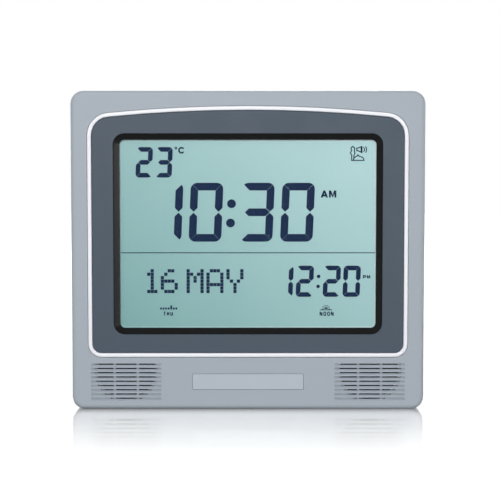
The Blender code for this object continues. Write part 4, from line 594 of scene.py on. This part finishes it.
LETTER_STROKES = {
    "A": [[(0, 0), (0.45, 1), (0.55, 1), (1, 0)], [(0.25, 0.33), (0.75, 0.33)]],
    "C": [[(1, 0.8), (0.75, 1), (0.3, 1), (0, 0.72), (0, 0.28), (0.3, 0), (0.75, 0), (1, 0.2)]],
    "F": [[(0, 0), (0, 1), (1, 1)], [(0.12, 0.5), (0.8, 0.5)]],
    "H": [[(0, 0), (0, 1)], [(1, 0), (1, 1)], [(0.1, 0.5), (0.9, 0.5)]],
    "M": [[(0, 0), (0, 1), (0.12, 1), (0.5, 0.2), (0.88, 1), (1, 1), (1, 0)]],
    "N": [[(0, 0), (0, 1), (0.12, 1), (0.88, 0), (1, 0), (1, 1)]],
    "O": [[(0.5, 0), (0.25, 0), (0, 0.25), (0, 0.75), (0.25, 1), (0.75, 1), (1, 0.75), (1, 0.25), (0.75, 0),
           (0.5, 0)]],
    "P": [[(0, 0), (0, 1), (0.75, 1), (1, 0.82), (1, 0.62), (0.75, 0.45), (0.12, 0.45)]],
    "T": [[(0, 1), (1, 1)], [(0.5, 0), (0.5, 0.9)]],
    "U": [[(0, 1), (0, 0.25), (0.25, 0), (0.75, 0), (1, 0.25), (1, 1)]],
}

# Words in millimetres: their low and high corners, the width of the line, and the gap between two letters
# as a share of a letter's width

WORDS = {
    "AM": ((49.45, 143.80), (60.10, 149.22), 1.25, 0.12),
    "C": ((-47.3, 174.3), (-43.1, 178.7), 1.05, 0.35),
    "THU": ((-57.9, 63.6), (-51.3, 66.5), 0.68, 0.35),
    "PM": ((78.50, 88.95), (83.45, 91.5), 0.68, 0.2),
    "NOON": ((49.0, 63.5), (58.6, 66.5), 0.66, 0.3),
    "OFF": ((-42.0, 199.4), (-37.2, 201.3), 0.38, 0.35),
    "ON": ((-47.0, 199.4), (-43.8, 201.3), 0.38, 0.35),
}

# Most half widths that a mitred corner reaches out, and the least lean that it is worked out from

MITRE_LIMIT, LEAST_LEAN = 1.5, 0.1


def add_stroke(bm, points, width):
    """A flat ribbon along a line of points, mitred at its corners; one that ends at its start is closed."""
    points = [Vector(p) for p in points]
    closed = (points[0] - points[-1]).length < MERGE
    if closed:
        points.pop()
    ends = points + points[:1] if closed else points
    runs = [(b - a).normalized() for a, b in zip(ends, ends[1:])]
    sides = [Vector((-run.y, run.x)) for run in runs]
    pairs = []
    for i, point in enumerate(points):
        beside = (sides[i - 1], sides[i]) if closed else sides[max(i - 1, 0):i + 1]
        across = sum(beside, Vector((0, 0))).normalized()
        lean = max(across.dot(beside[0]), LEAST_LEAN)
        reach = min(1 / lean, MITRE_LIMIT) * width / 2
        pairs.append([bm.verts.new((p.x, 0, p.y)) for p in (point + across * reach, point - across * reach)])
    links = list(zip(pairs, pairs[1:])) + ([(pairs[-1], pairs[0])] if closed else [])
    for (a, b), (c, d) in links:
        bm.faces.new((a, b, d, c))


def add_word(bm, word):
    """A word of plain letters side by side, that fills its box."""
    low_corner, high_corner, line, gap_share = WORDS[word]
    low, high, width = mm(*low_corner), mm(*high_corner), line * MM
    cell = (high[0] - low[0]) / (len(word) + gap_share * (len(word) - 1))
    rise = high[1] - low[1] - width
    for i, character in enumerate(word):
        left = low[0] + i * cell * (1 + gap_share) + width / 2
        for stroke in LETTER_STROKES[character]:
            points = [(left + x * (cell - width), low[1] + width / 2 + z * rise) for x, z in stroke]
            add_stroke(bm, points, width)


def add_ring(bm, points, width):
    """The outline of a closed shape, drawn in a line of that width inside it."""
    face = add_flat(bm, points)
    bmesh.ops.inset_individual(bm, faces=[face], thickness=width, use_even_offset=True)
    bmesh.ops.delete(bm, geom=[face], context="FACES")


def circle_points(centre, radius):
    """Points round a closed circle; the last one is the first again."""
    return [Vector(centre) + radius * heading(angle) for angle in range(0, 361, 30)]


def add_rays(bm, centre, inner, outer, width, angles):
    """Short rays round a centre."""
    for angle in angles:
        ends = [Vector(centre) + heading(angle) * distance for distance in (inner, outer)]
        add_stroke(bm, ends, width)


def add_wave(bm, centre, radius, width, half_angle):
    """One sound wave: a short arc open to the left."""
    start = Matrix.Rotation(half_angle, 3, "Y")
    ends = [bm.verts.new(Vector((centre[0], 0, centre[1])) + start @ Vector((reach, 0, 0)))
            for reach in (radius - width / 2, radius + width / 2)]
    edge = bm.edges.new(ends)
    bmesh.ops.spin(
        bm, geom=[*ends, edge], cent=(centre[0], 0, centre[1]), axis=(0, -1, 0), angle=2 * half_angle,
        steps=6, use_duplicate=False)


def raise_marks(name, bm, base, top, slot, body=CASE, look=None):
    """Give flat marks their thickness, from one depth to another."""
    bmesh.ops.recalc_face_normals(bm, faces=bm.faces)
    back_to_front = [f for f in bm.faces if f.normal.y > 0]
    bmesh.ops.reverse_faces(bm, faces=back_to_front)
    bmesh.ops.triangulate(bm, faces=[f for f in bm.faces if len(f.verts) > 4])
    grown = bmesh.ops.extrude_face_region(bm, geom=bm.faces[:], use_keep_orig=True)
    moved = [v for v in grown["geom"] if isinstance(v, bmesh.types.BMVert)]
    bmesh.ops.translate(bm, verts=moved, vec=(0, top - base, 0))
    bmesh.ops.translate(bm, verts=bm.verts, vec=(0, base, 0))
    bmesh.ops.recalc_face_normals(bm, faces=bm.faces)
    return shade_and_ride(name, bm, slot, body, look=look)


def lay_ink(name, bm, look, slot="chip_black"):
    """Lay flat marks on the display."""
    display = settings("display")
    base = LCD_LOW.y - display.ink_lift
    return raise_marks(name, bm, base, base - display.ink_thickness, slot, look=look)


# Operators


class CLOCK_OT_looks(Operator):
    """Mix every finish and give the plain solids theirs"""

    bl_idname = "clock.looks"
    bl_label = "Finishes"

    def execute(self, context):
        LOOKS.clear()
        LOOKS.update(make_looks())
        for slot, nodes in SLOT_NODES.items():
            for node in nodes:
                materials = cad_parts[node].data.materials
                materials.clear()
                materials.append(LOOKS[slot])
        return {"FINISHED"}


class CLOCK_OT_shells(Operator):
    """Soften both silver shells and the blank plate"""

    bl_idname = "clock.shells"
    bl_label = "Shells"

    def execute(self, context):
        width = settings("edges").shell
        softened("front_bezel", width, "silver_case")
        softened("rear_cover", width, "silver_case")
        plate = moulded("bare_plate", tinted(settings("finish").silver, 0.16), 0.36, specular=0.3)
        softened("nameplate", width, "silver_case", look=plate)
        return {"FINISHED"}


# Half width, half height, middle and corner radius of the pale rim's outline, a painted highlight along the
# opening's edge

RIM_HALF_WIDTH, RIM_HALF_HEIGHT, RIM_MIDDLE, RIM_CORNER = mm(87.1, 64.0, 119.6, 3.3)


def lay_rim_highlight():
    """A thin pale rim on the glass, round the surround's opening: a painted highlight of the glass edge."""
    display = settings("display")
    opening = [(x * RIM_HALF_WIDTH, RIM_MIDDLE + z * RIM_HALF_HEIGHT)
               for x, z in ((-1, -1), (1, -1), (1, 1), (-1, 1))]
    bm = bmesh.new()
    add_flat(bm, opening)
    bmesh.ops.bevel(
        bm, geom=bm.verts[:], offset=RIM_CORNER, offset_type="OFFSET", affect="VERTICES", segments=8,
        profile=0.5, material=-1)
    bmesh.ops.inset_individual(
        bm, faces=bm.faces[:], thickness=display.rim_width, use_even_offset=True)
    inner = max(bm.faces, key=lambda face: face.calc_area())
    bmesh.ops.delete(bm, geom=[inner], context="FACES")
    # The pale rim is a painted highlight laid on the glass, not a part of the display
    lay_ink("display_rim_highlight", bm, rim_highlight_look(), slot="lcd_glass")


class CLOCK_OT_face(Operator):
    """Soften the panel, the bead and the display's surround and window, and lay the display's rim of painted
    highlight
    """

    bl_idname = "clock.face"
    bl_label = "Face"

    def execute(self, context):
        width = settings("edges").panel
        softened("fascia_panel", width, "slate_panel")
        seam = settings("edges").seam
        softened("trim_ring", width, "white_trim", spread=(seam / 2, seam))
        softened("lcd_surround", width, "black_surround")
        softened("display_window", width, "clear_window")
        lay_rim_highlight()
        return {"FINISHED"}


# Plain marks of the display: the line under the time, the degree ring, the bars of the week in millimetres,
# and the rising sun over its horizon

DIVIDER = (mm(-86.8, 106.5), mm(86.8, 107.1))
DEGREE_CENTRE = mm(-48.9, 178.0)
DEGREE_RADIUS, DEGREE_LINE = mm(0.65, 0.62)
WEEK = {"left": -60.1, "pitch": 1.75, "width": 1.25, "low": 67.9, "high": 69.3, "raised": 70.7, "today": 4}
HORIZON = (mm(49.3, 67.4), mm(57.6, 67.95))
NOON_CENTRE = mm(53.4, 68.3)
NOON_RADIUS_MM = 1.25
NOON_RAYS = mm(1.75, 2.85, 0.55)

# The sound sign in millimetres: the outlines of a tower, a dome and a loudspeaker, the bar of the
# loudspeaker, and the radius and half angle of its waves

SOUND_SHAPES = (
    ((70.1, 169.3), (70.1, 173.2), (69.1, 174.8), (69.9, 176.1), (69.7, 178.3), (71.1, 179.6),
     (72.7, 178.3), (72.6, 176.1), (73.0, 174.3), (72.3, 172.8), (72.2, 169.3)),
    ((71.4, 169.3), (71.4, 171.0), (72.4, 172.1), (73.6, 172.7), (74.7, 174.0), (75.8, 172.7),
     (77.6, 172.2), (78.8, 171.1), (79.2, 169.3)),
    ((73.5, 175.9), (73.5, 178.3), (74.5, 178.3), (77.7, 179.6), (77.7, 174.4), (74.5, 175.9)),
)
SOUND_BAR = (mm(76.5, 175.3), mm(77.4, 178.7))
SOUND_WAVES = ((1.9, 56), (3.25, 41))
WAVE_CENTRE = mm(77.3, 177.0)
SOUND_LINE, WAVE_LINE = mm(0.70, 0.66)


def draw_temperature(bm):
    """Room temperature in degrees."""
    add_figure_row(bm, "temperature")
    add_word(bm, "C")
    add_stroke(bm, circle_points(DEGREE_CENTRE, DEGREE_RADIUS), DEGREE_LINE)


def draw_date(bm):
    """Date in dots."""
    for character, left in DATE_LETTERS:
        add_dot_letter(bm, character, left * MM)


def draw_weekday(bm):
    """Weekday as a word, and as the raised one of seven bars."""
    add_word(bm, "THU")
    for day in range(7):
        left = (WEEK["left"] + day * WEEK["pitch"]) * MM
        top = WEEK["raised" if day == WEEK["today"] else "high"] * MM
        add_bar(bm, (left, WEEK["low"] * MM), (left + WEEK["width"] * MM, top))


def draw_second_time(bm):
    """Smaller time with its half of the day."""
    add_figure_row(bm, "second_time")
    add_word(bm, "PM")


def draw_noon(bm):
    """Label of the smaller time: a word and a rising sun."""
    add_word(bm, "NOON")
    add_bar(bm, *HORIZON)
    sun = Vector(NOON_CENTRE)
    add_flat(bm, [sun + heading(angle) * NOON_RADIUS_MM * MM for angle in range(0, 181, 20)])
    add_rays(bm, sun, *NOON_RAYS, range(0, 181, 36))


def draw_sound_sign(bm):
    """Tower, dome and loudspeaker in a fine line."""
    for shape in SOUND_SHAPES:
        add_ring(bm, [mm(*point) for point in shape], SOUND_LINE)
    add_bar(bm, *SOUND_BAR)
    for radius, half_angle in SOUND_WAVES:
        add_wave(bm, WAVE_CENTRE, radius * MM, WAVE_LINE, math.radians(half_angle))


# What draws each piece of the display, by the piece's name

MARKS = {
    "time_figures": lambda bm: add_figure_row(bm, "time"),
    "half_day_mark": lambda bm: add_word(bm, "AM"),
    "divider_line": lambda bm: add_bar(bm, *DIVIDER),
    "temperature_figures": draw_temperature,
    "date_dots": draw_date,
    "weekday_mark": draw_weekday,
    "next_call_figures": draw_second_time,
    "noon_mark": draw_noon,
    "sound_sign": draw_sound_sign,
}


class CLOCK_OT_marks(Operator):
    """Lay the figures and marks on the display"""

    bl_idname = "clock.marks"
    bl_label = "Display marks"

    def execute(self, context):
        ink = moulded("display_ink", settings("finish").ink, 0.5, spread=0.08, specular=0.08)
        for name, draw in MARKS.items():
            bm = bmesh.new()
            draw(bm)
            lay_ink(name, bm, ink)
        return {"FINISHED"}


class CLOCK_OT_speakers(Operator):
    """Soften the cones behind the slots"""

    bl_idname = "clock.speakers"
    bl_label = "Speakers"

    def execute(self, context):
        for side in ("left", "right"):
            softened("speaker_cone_" + side, settings("edges").small, "cone_paper")
        return {"FINISHED"}


# Marks of the keys, and how far a mark starts under its surface and stands out

DIAL_RADIUS, DIAL_LINE, HAND_LINE = mm(1.55, 0.36, 0.34)
HANDS = (mm(0, 0.95), mm(0, 0), mm(-0.75, 0))
LIST_BARS = tuple((mm(-1.7, rise - 0.2), mm(1.7, rise + 0.2)) for rise in (-1.0, 0, 1.0))
TRIANGLE = (mm(-1.5, -1.0), mm(1.5, -1.0), mm(0, 1.3))
SUN_RADIUS = 0.75 * MM
SUN_RAYS = mm(1.1, 1.75, 0.34)
KEY_MARK_SUNK, KEY_MARK_PROUD = mm(0.25, 0.08)
PAN_MARK_SUNK, PAN_MARK_PROUD = mm(0.1, 0.12)


def draw_dial(bm, middle):
    """Small dial with two hands."""
    add_stroke(bm, circle_points(middle, DIAL_RADIUS), DIAL_LINE)
    add_stroke(bm, [middle + Vector(p) for p in HANDS], HAND_LINE)


def draw_lines(bm, middle):
    """Three lines of a list."""
    for low, high in LIST_BARS:
        add_bar(bm, middle + Vector(low), middle + Vector(high))


def draw_up(bm, middle, way=1):
    """Triangle that points up."""
    add_flat(bm, [middle + Vector(p) * way for p in TRIANGLE])


def draw_down(bm, middle):
    """Triangle that points down."""
    draw_up(bm, middle, -1)


def draw_sun(bm, middle):
    """Small sun for the light."""
    add_dot(bm, middle, SUN_RADIUS)
    add_rays(bm, middle, *SUN_RAYS, range(0, 360, 45))


def letter_switch():
    """ON and OFF over the switch, raised from the floor of the key pan and read from behind."""
    bm = bmesh.new()
    add_word(bm, "OFF")
    add_word(bm, "ON")
    bmesh.ops.scale(bm, vec=(-1, 1, 1), verts=bm.verts)
    base, top = PAN_FLOOR_Y - PAN_MARK_SUNK, PAN_FLOOR_Y + PAN_MARK_PROUD
    raise_marks("switch_words", bm, base, top, "key_plastic")


class CLOCK_OT_controls(Operator):
    """Soften the keys and the knob, and give them their marks"""

    bl_idname = "clock.controls"
    bl_label = "Keys and knob"

    def execute(self, context):
        width = settings("edges").small
        paint = moulded("mark_paint", settings("finish").marks, 0.5)
        softened("sound_switch_knob", width, "key_plastic", "sound_switch_knob")
        letter_switch()
        marks = {
            "set_key": draw_dial, "mode_key": draw_lines, "up_key": draw_up, "down_key": draw_down,
            "light_key": draw_sun,
        }
        for key, draw in marks.items():
            softened(key, width, "key_plastic", key)
            low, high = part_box(key)
            bm = bmesh.new()
            draw(bm, ((low + high) / 2).xz)
            base, top = high.y - KEY_MARK_SUNK, high.y + KEY_MARK_PROUD
            raise_marks(key + "_mark", bm, base, top, "key_plastic", key, paint)
        return {"FINISHED"}


# Cells: the radius that the nub lies in, how deep an end is looked at, the least share of an end face's
# normal along the cell, and the band's start from the middle as a share of the length

NUB_RADIUS, END_DEPTH = mm(3.4, 0.2)
END_FACING = 0.8
BAND_START = 0.24


def sleeve_cell(node, width, band):
    """One cell: a sleeve with a band towards its nub, and bare ends."""
    low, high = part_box(node)
    middle = (low + high) / 2
    bm = merged_copy(node)
    soften_edges(bm, width)

    def reach(point):
        return math.hypot(point.y - middle.y, point.z - middle.z)

    low_end = max(reach(vert.co) for vert in bm.verts if vert.co.x < low.x + END_DEPTH)
    way = -1 if low_end < NUB_RADIUS else 1
    cut = middle.x + way * BAND_START * (high.x - low.x)
    geometry = [*bm.verts, *bm.edges, *bm.faces]
    bmesh.ops.bisect_plane(bm, geom=geometry, dist=MERGE, plane_co=(cut, 0, 0), plane_no=(1, 0, 0))
    for face in bm.faces:
        centre = face.calc_center_median()
        if abs(face.normal.x) > END_FACING or reach(centre) < NUB_RADIUS:
            face.material_index = 1
        elif (centre.x - cut) * way > 0:
            face.material_index = 2
    piece = shade_and_ride(node + "_skin", bm, "cell_sleeve", CASE, [node])
    piece.data.materials.append(LOOKS["bright_steel"])
    piece.data.materials.append(band)


class CLOCK_OT_power(Operator):
    """Soften the cells and their contacts"""

    bl_idname = "clock.power"
    bl_label = "Batteries"

    def execute(self, context):
        width = settings("edges").small
        band = moulded("cell_band", settings("finish").band, 0.3, coat=0.4, metallic=0.5)
        for number in range(1, 4):
            sleeve_cell(f"battery_cell_{number}", width, band)
        for place in ("upper_left", "lower_left", "upper_right", "lower_right"):
            softened("battery_contact_" + place, width / 2, "bright_steel")
        return {"FINISHED"}


class CLOCK_OT_hinged(Operator):
    """Soften the battery door and the desk stand"""

    bl_idname = "clock.hinged"
    bl_label = "Door and stand"

    def execute(self, context):
        for node in ("battery_door", "stand_leg"):
            softened(node, settings("edges").small, "silver_case", node)
        return {"FINISHED"}


# Screws: shank radius and head height, and shares of the head for its outline, flat top and cross recess

CASE_SCREW = mm(1.4, 1.9)
BOARD_SCREW = mm(1.0, 1.4)
HEAD_OUTLINE = ((1, 0), (1, 0.45), (0.94, 0.72), (0.83, 0.9))
HEAD_TOP = 0.66
CROSS_REACH, CROSS_HALF, CROSS_SLOPE, CROSS_DEPTH = 0.50, 0.11, 0.4, 0.55


def turn_screw(node, shank, head_height, turn_deg):
    """One pan screw along Y, its head towards the back."""
    low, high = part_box(node)
    head = (high.x - low.x) / 2
    neck = high.y - head_height
    crown = [(out * head, neck + rise * head_height) for out, rise in HEAD_OUTLINE]
    profile = [
        (0, low.y), (shank / 2, low.y), (shank, low.y + shank), (shank, neck), *crown,
        (HEAD_TOP * head, high.y)]
    bm = bmesh.new()
    line = [bm.verts.new((radius, y, 0)) for radius, y in profile]
    edges = [bm.edges.new(pair) for pair in zip(line, line[1:])]
    bmesh.ops.spin(
        bm, geom=[*line, *edges], cent=(0, 0, 0), axis=(0, 1, 0), angle=math.tau, steps=28,
        use_merge=True)
    bmesh.ops.remove_doubles(bm, verts=bm.verts, dist=MERGE)
    rim = [edge for edge in bm.edges if edge.is_boundary]
    reach, half = CROSS_REACH * head, CROSS_HALF * head
    quarter = [(reach, -half), (reach, half), (half, half)]
    turns = [Matrix.Rotation(math.radians(90 * step), 2) for step in range(4)]
    corners = [turn @ Vector(point) for turn in turns for point in quarter]
    cross = [bm.verts.new((p.x, high.y, p.y)) for p in corners]
    sides = [bm.edges.new(pair) for pair in zip(cross, cross[1:] + cross[:1])]
    bmesh.ops.triangle_fill(bm, use_beauty=True, edges=rim + sides, normal=(0, 1, 0))
    recess = bm.faces.new(cross)
    recess.normal_update()
    if recess.normal.y < 0:
        recess.normal_flip()
    bmesh.ops.inset_individual(
        bm, faces=[recess], thickness=CROSS_SLOPE * half, depth=-CROSS_DEPTH * head_height,
        use_even_offset=True)
    turn = Matrix.Rotation(math.radians(turn_deg), 3, "Y")
    bmesh.ops.rotate(bm, cent=(0, 0, 0), matrix=turn, verts=bm.verts)
    bmesh.ops.translate(bm, vec=((low.x + high.x) / 2, 0, (low.z + high.z) / 2), verts=bm.verts)
    bmesh.ops.recalc_face_normals(bm, faces=bm.faces)
    shade_and_ride(node + "_turned", bm, "bright_steel", CASE, [node])


class CLOCK_OT_fasteners(Operator):
    """Turn the case screws and the board screws, with their cross recess"""

    bl_idname = "clock.fasteners"
    bl_label = "Screws"

    def execute(self, context):
        for number in range(1, 5):
            turn_screw(f"case_screw_{number}", *CASE_SCREW, turn_deg=23 * number)
            turn_screw(f"board_screw_{number}", *BOARD_SCREW, turn_deg=31 * number)
        for number in (1, 2):
            turn_screw(f"key_board_screw_{number}", *BOARD_SCREW, turn_deg=40 * number)
        return {"FINISHED"}


# Stage

# Spans of the floor, each as two values and the limits between which they change: its tone for lighting rays
# and seen ones, its glow by distance, and two shares of its mirror by depth, wide and close under the clock

FLOOR_TONE = (0.10, 0.80, 0, 1)
FLOOR_GLOW = (0.65, 1.0, 0.13, 0.6)
FLOOR_MIRRORS = ((0.61, 0.0, 0.02, 0.19), (0.17, 0.0, 0.02, 0.037))
FLOOR_HALF = 4.0
WHITE = (1, 1, 1)

# Strength of the room before and behind the clock, and where it changes along a direction's Y

ROOM_LIGHT = (0.55, 0.14, -0.9, 0.2)

# Point of the face that the camera looks at, and its sensor's width in millimetres

CAMERA_AIM = mm(1.4, 109)
SENSOR_WIDTH = 36.0


def add_lamp(name, place, target, power, width, height):
    """A soft rectangular lamp that faces a target."""
    light = bpy.data.lights.new(name, "AREA")
    light.shape = "RECTANGLE"
    light.size, light.size_y = width, height
    light.energy = power
    lamp = add_object(name, light)
    lamp.location = place
    lamp.rotation_euler = (Vector(target) - Vector(place)).to_track_quat("-Z", "Y").to_euler()
    return lamp


def white_for_camera(tree):
    """1 for camera, mirror and glass rays and 0 for the rest."""
    path = tree.nodes.new("ShaderNodeLightPath").outputs
    direct = sum_of(tree, "MAXIMUM", path["Is Camera Ray"], path["Is Glossy Ray"])
    return sum_of(tree, "MAXIMUM", direct, path["Is Transmission Ray"])


def stage_floor_look():
    """Glossy white board: it keeps a soft shadow and a mirror that fades away from the clock."""
    look = bpy.data.materials.new("stage_floor")
    look.use_nodes = True
    tree = look.node_tree
    tree.nodes.clear()
    seen = white_for_camera(tree)
    diffuse = add_node(tree, "ShaderNodeBsdfDiffuse", {"Color": ranged(tree, seen, *FLOOR_TONE)})
    place = tree.nodes.new("ShaderNodeTexCoord").outputs["Object"]
    away = add_node(tree, "ShaderNodeVectorMath", {0: place}, operation="LENGTH").outputs["Value"]
    shine = sum_of(tree, "MULTIPLY", ranged(tree, away, *FLOOR_GLOW), seen)
    glow = add_node(tree, "ShaderNodeEmission", {"Color": WHITE, "Strength": shine})
    lit = add_node(tree, "ShaderNodeAddShader", {0: diffuse.outputs[0], 1: glow.outputs[0]})
    mirror = add_node(tree, "ShaderNodeBsdfGlossy", {"Color": WHITE, "Roughness": 0.05})
    depth = sum_of(tree, "ABSOLUTE", axis_of(tree, place, "Y"))
    wide, close = (ranged(tree, depth, *span) for span in FLOOR_MIRRORS)
    share = sum_of(tree, "MULTIPLY", sum_of(tree, "ADD", wide, close), seen)
    mixed = add_node(
        tree, "ShaderNodeMixShader", {"Fac": share, 1: lit.outputs[0], 2: mirror.outputs[0]})
    add_node(tree, "ShaderNodeOutputMaterial", {"Surface": mixed.outputs[0]})
    return look


def lay_floor():
    """One wide board under the clock."""
    bm = bmesh.new()
    bmesh.ops.create_grid(bm, x_segments=1, y_segments=1, size=FLOOR_HALF)
    mesh = mesh_of("stage_board", bm)
    mesh.materials.append(stage_floor_look())
    board = add_object("stage_board", mesh)


def hang_lamps(context):
    """Lamps before and behind the clock, a card for gloss alone, and a room that is lighter in front.

    A lamp is listed by its place, power, width and height.
    """
    stage = settings("stage")
    heart = (0, 0, CASE_HIGH.z / 2)
    lamps = {
        "key_lamp": ((-0.35, -2.0, 0.72), stage.key_power, 1.5, 0.9),
        "fill_lamp": ((0.4, -1.8, 0.05), stage.fill_power, 0.9, 0.9),
        "side_card": ((1.5, -0.30, 0.16), stage.side_power, 0.3, 0.5),
        "back_lamp": ((0.3, 1.6, 0.8), stage.back_power, 0.8, 0.8),
        "left_lamp": ((-1.25, 1.15, 0.45), stage.flank_power, 0.6, 0.6),
        "right_lamp": ((1.25, 1.15, 0.45), stage.flank_power, 0.6, 0.6),
    }
    for name, (place, power, width, height) in lamps.items():
        lamp = add_lamp(name, place, heart, power, width, height)
        lamp.visible_diffuse = name != "side_card"
    world = bpy.data.worlds.new("studio")
    world.use_nodes = True
    tree = world.node_tree
    towards = tree.nodes.new("ShaderNodeTexCoord").outputs["Generated"]
    room = ranged(tree, axis_of(tree, towards, "Y"), *ROOM_LIGHT)
    strength = sum_of(tree, "MAXIMUM", room, white_for_camera(tree))
    set_inputs(tree, tree.nodes["Background"], {"Color": WHITE, "Strength": strength})
    context.scene.world = world


def aim_camera(context):
    """The photograph's view: just above the middle of the face."""
    stage = settings("stage")
    target = Vector((CAMERA_AIM[0], CASE_LOW.y, CAMERA_AIM[1]))
    back = Vector((0, -math.cos(stage.camera_rise), math.sin(stage.camera_rise)))
    lens = bpy.data.cameras.new("camera")
    lens.sensor_width = SENSOR_WIDTH
    lens.lens = lens.sensor_width * stage.camera_distance / stage.camera_span
    camera = add_object("camera", lens)
    camera.location = target + stage.camera_distance * back
    camera.rotation_euler = (-back).to_track_quat("-Z", "Y").to_euler()
    context.scene.camera = camera


class CLOCK_OT_stage(Operator):
    """Set the floor, the lamps, the surroundings and the camera"""

    bl_idname = "clock.stage"
    bl_label = "Stage"

    def execute(self, context):
        lay_floor()
        hang_lamps(context)
        aim_camera(context)
        context.scene.view_settings.view_transform = "Standard"
        return {"FINISHED"}


STEPS = (
    CLOCK_OT_looks, CLOCK_OT_shells, CLOCK_OT_face, CLOCK_OT_marks, CLOCK_OT_speakers, CLOCK_OT_controls,
    CLOCK_OT_power, CLOCK_OT_hinged, CLOCK_OT_fasteners, CLOCK_OT_stage,
)


class CLOCK_PT_panel(Panel):
    """Sidebar panel with the clock's steps and sizes"""

    bl_label = "Azan Clock"
    bl_idname = "CLOCK_PT_panel"
    bl_space_type = "VIEW_3D"
    bl_region_type = "UI"
    bl_category = "Clock"

    def draw(self, context):
        layout = self.layout
        for step in STEPS:
            layout.operator(step.bl_idname)
        for group in GROUPS:
            box = layout.box()
            box.label(text=group.title())
            values = settings(group)
            for name in type(values).__annotations__:
                box.prop(values, name)


GROUPS = {"finish": ClockFinish, "edges": ClockEdges, "display": ClockDisplay, "stage": ClockStage}
CLASSES = (*GROUPS.values(), *STEPS, CLOCK_PT_panel)


def register():
    for cls in CLASSES:
        bpy.utils.register_class(cls)
    for name, group in GROUPS.items():
        setattr(bpy.types.Scene, "clock_" + name, PointerProperty(type=group))


def unregister():
    for name in GROUPS:
        delattr(bpy.types.Scene, "clock_" + name)
    for cls in reversed(CLASSES):
        bpy.utils.unregister_class(cls)


def main():
    register()
    for step in STEPS:
        group, name = step.bl_idname.split(".")
        getattr(getattr(bpy.ops, group), name)()


if __name__ == "__main__":
    main()
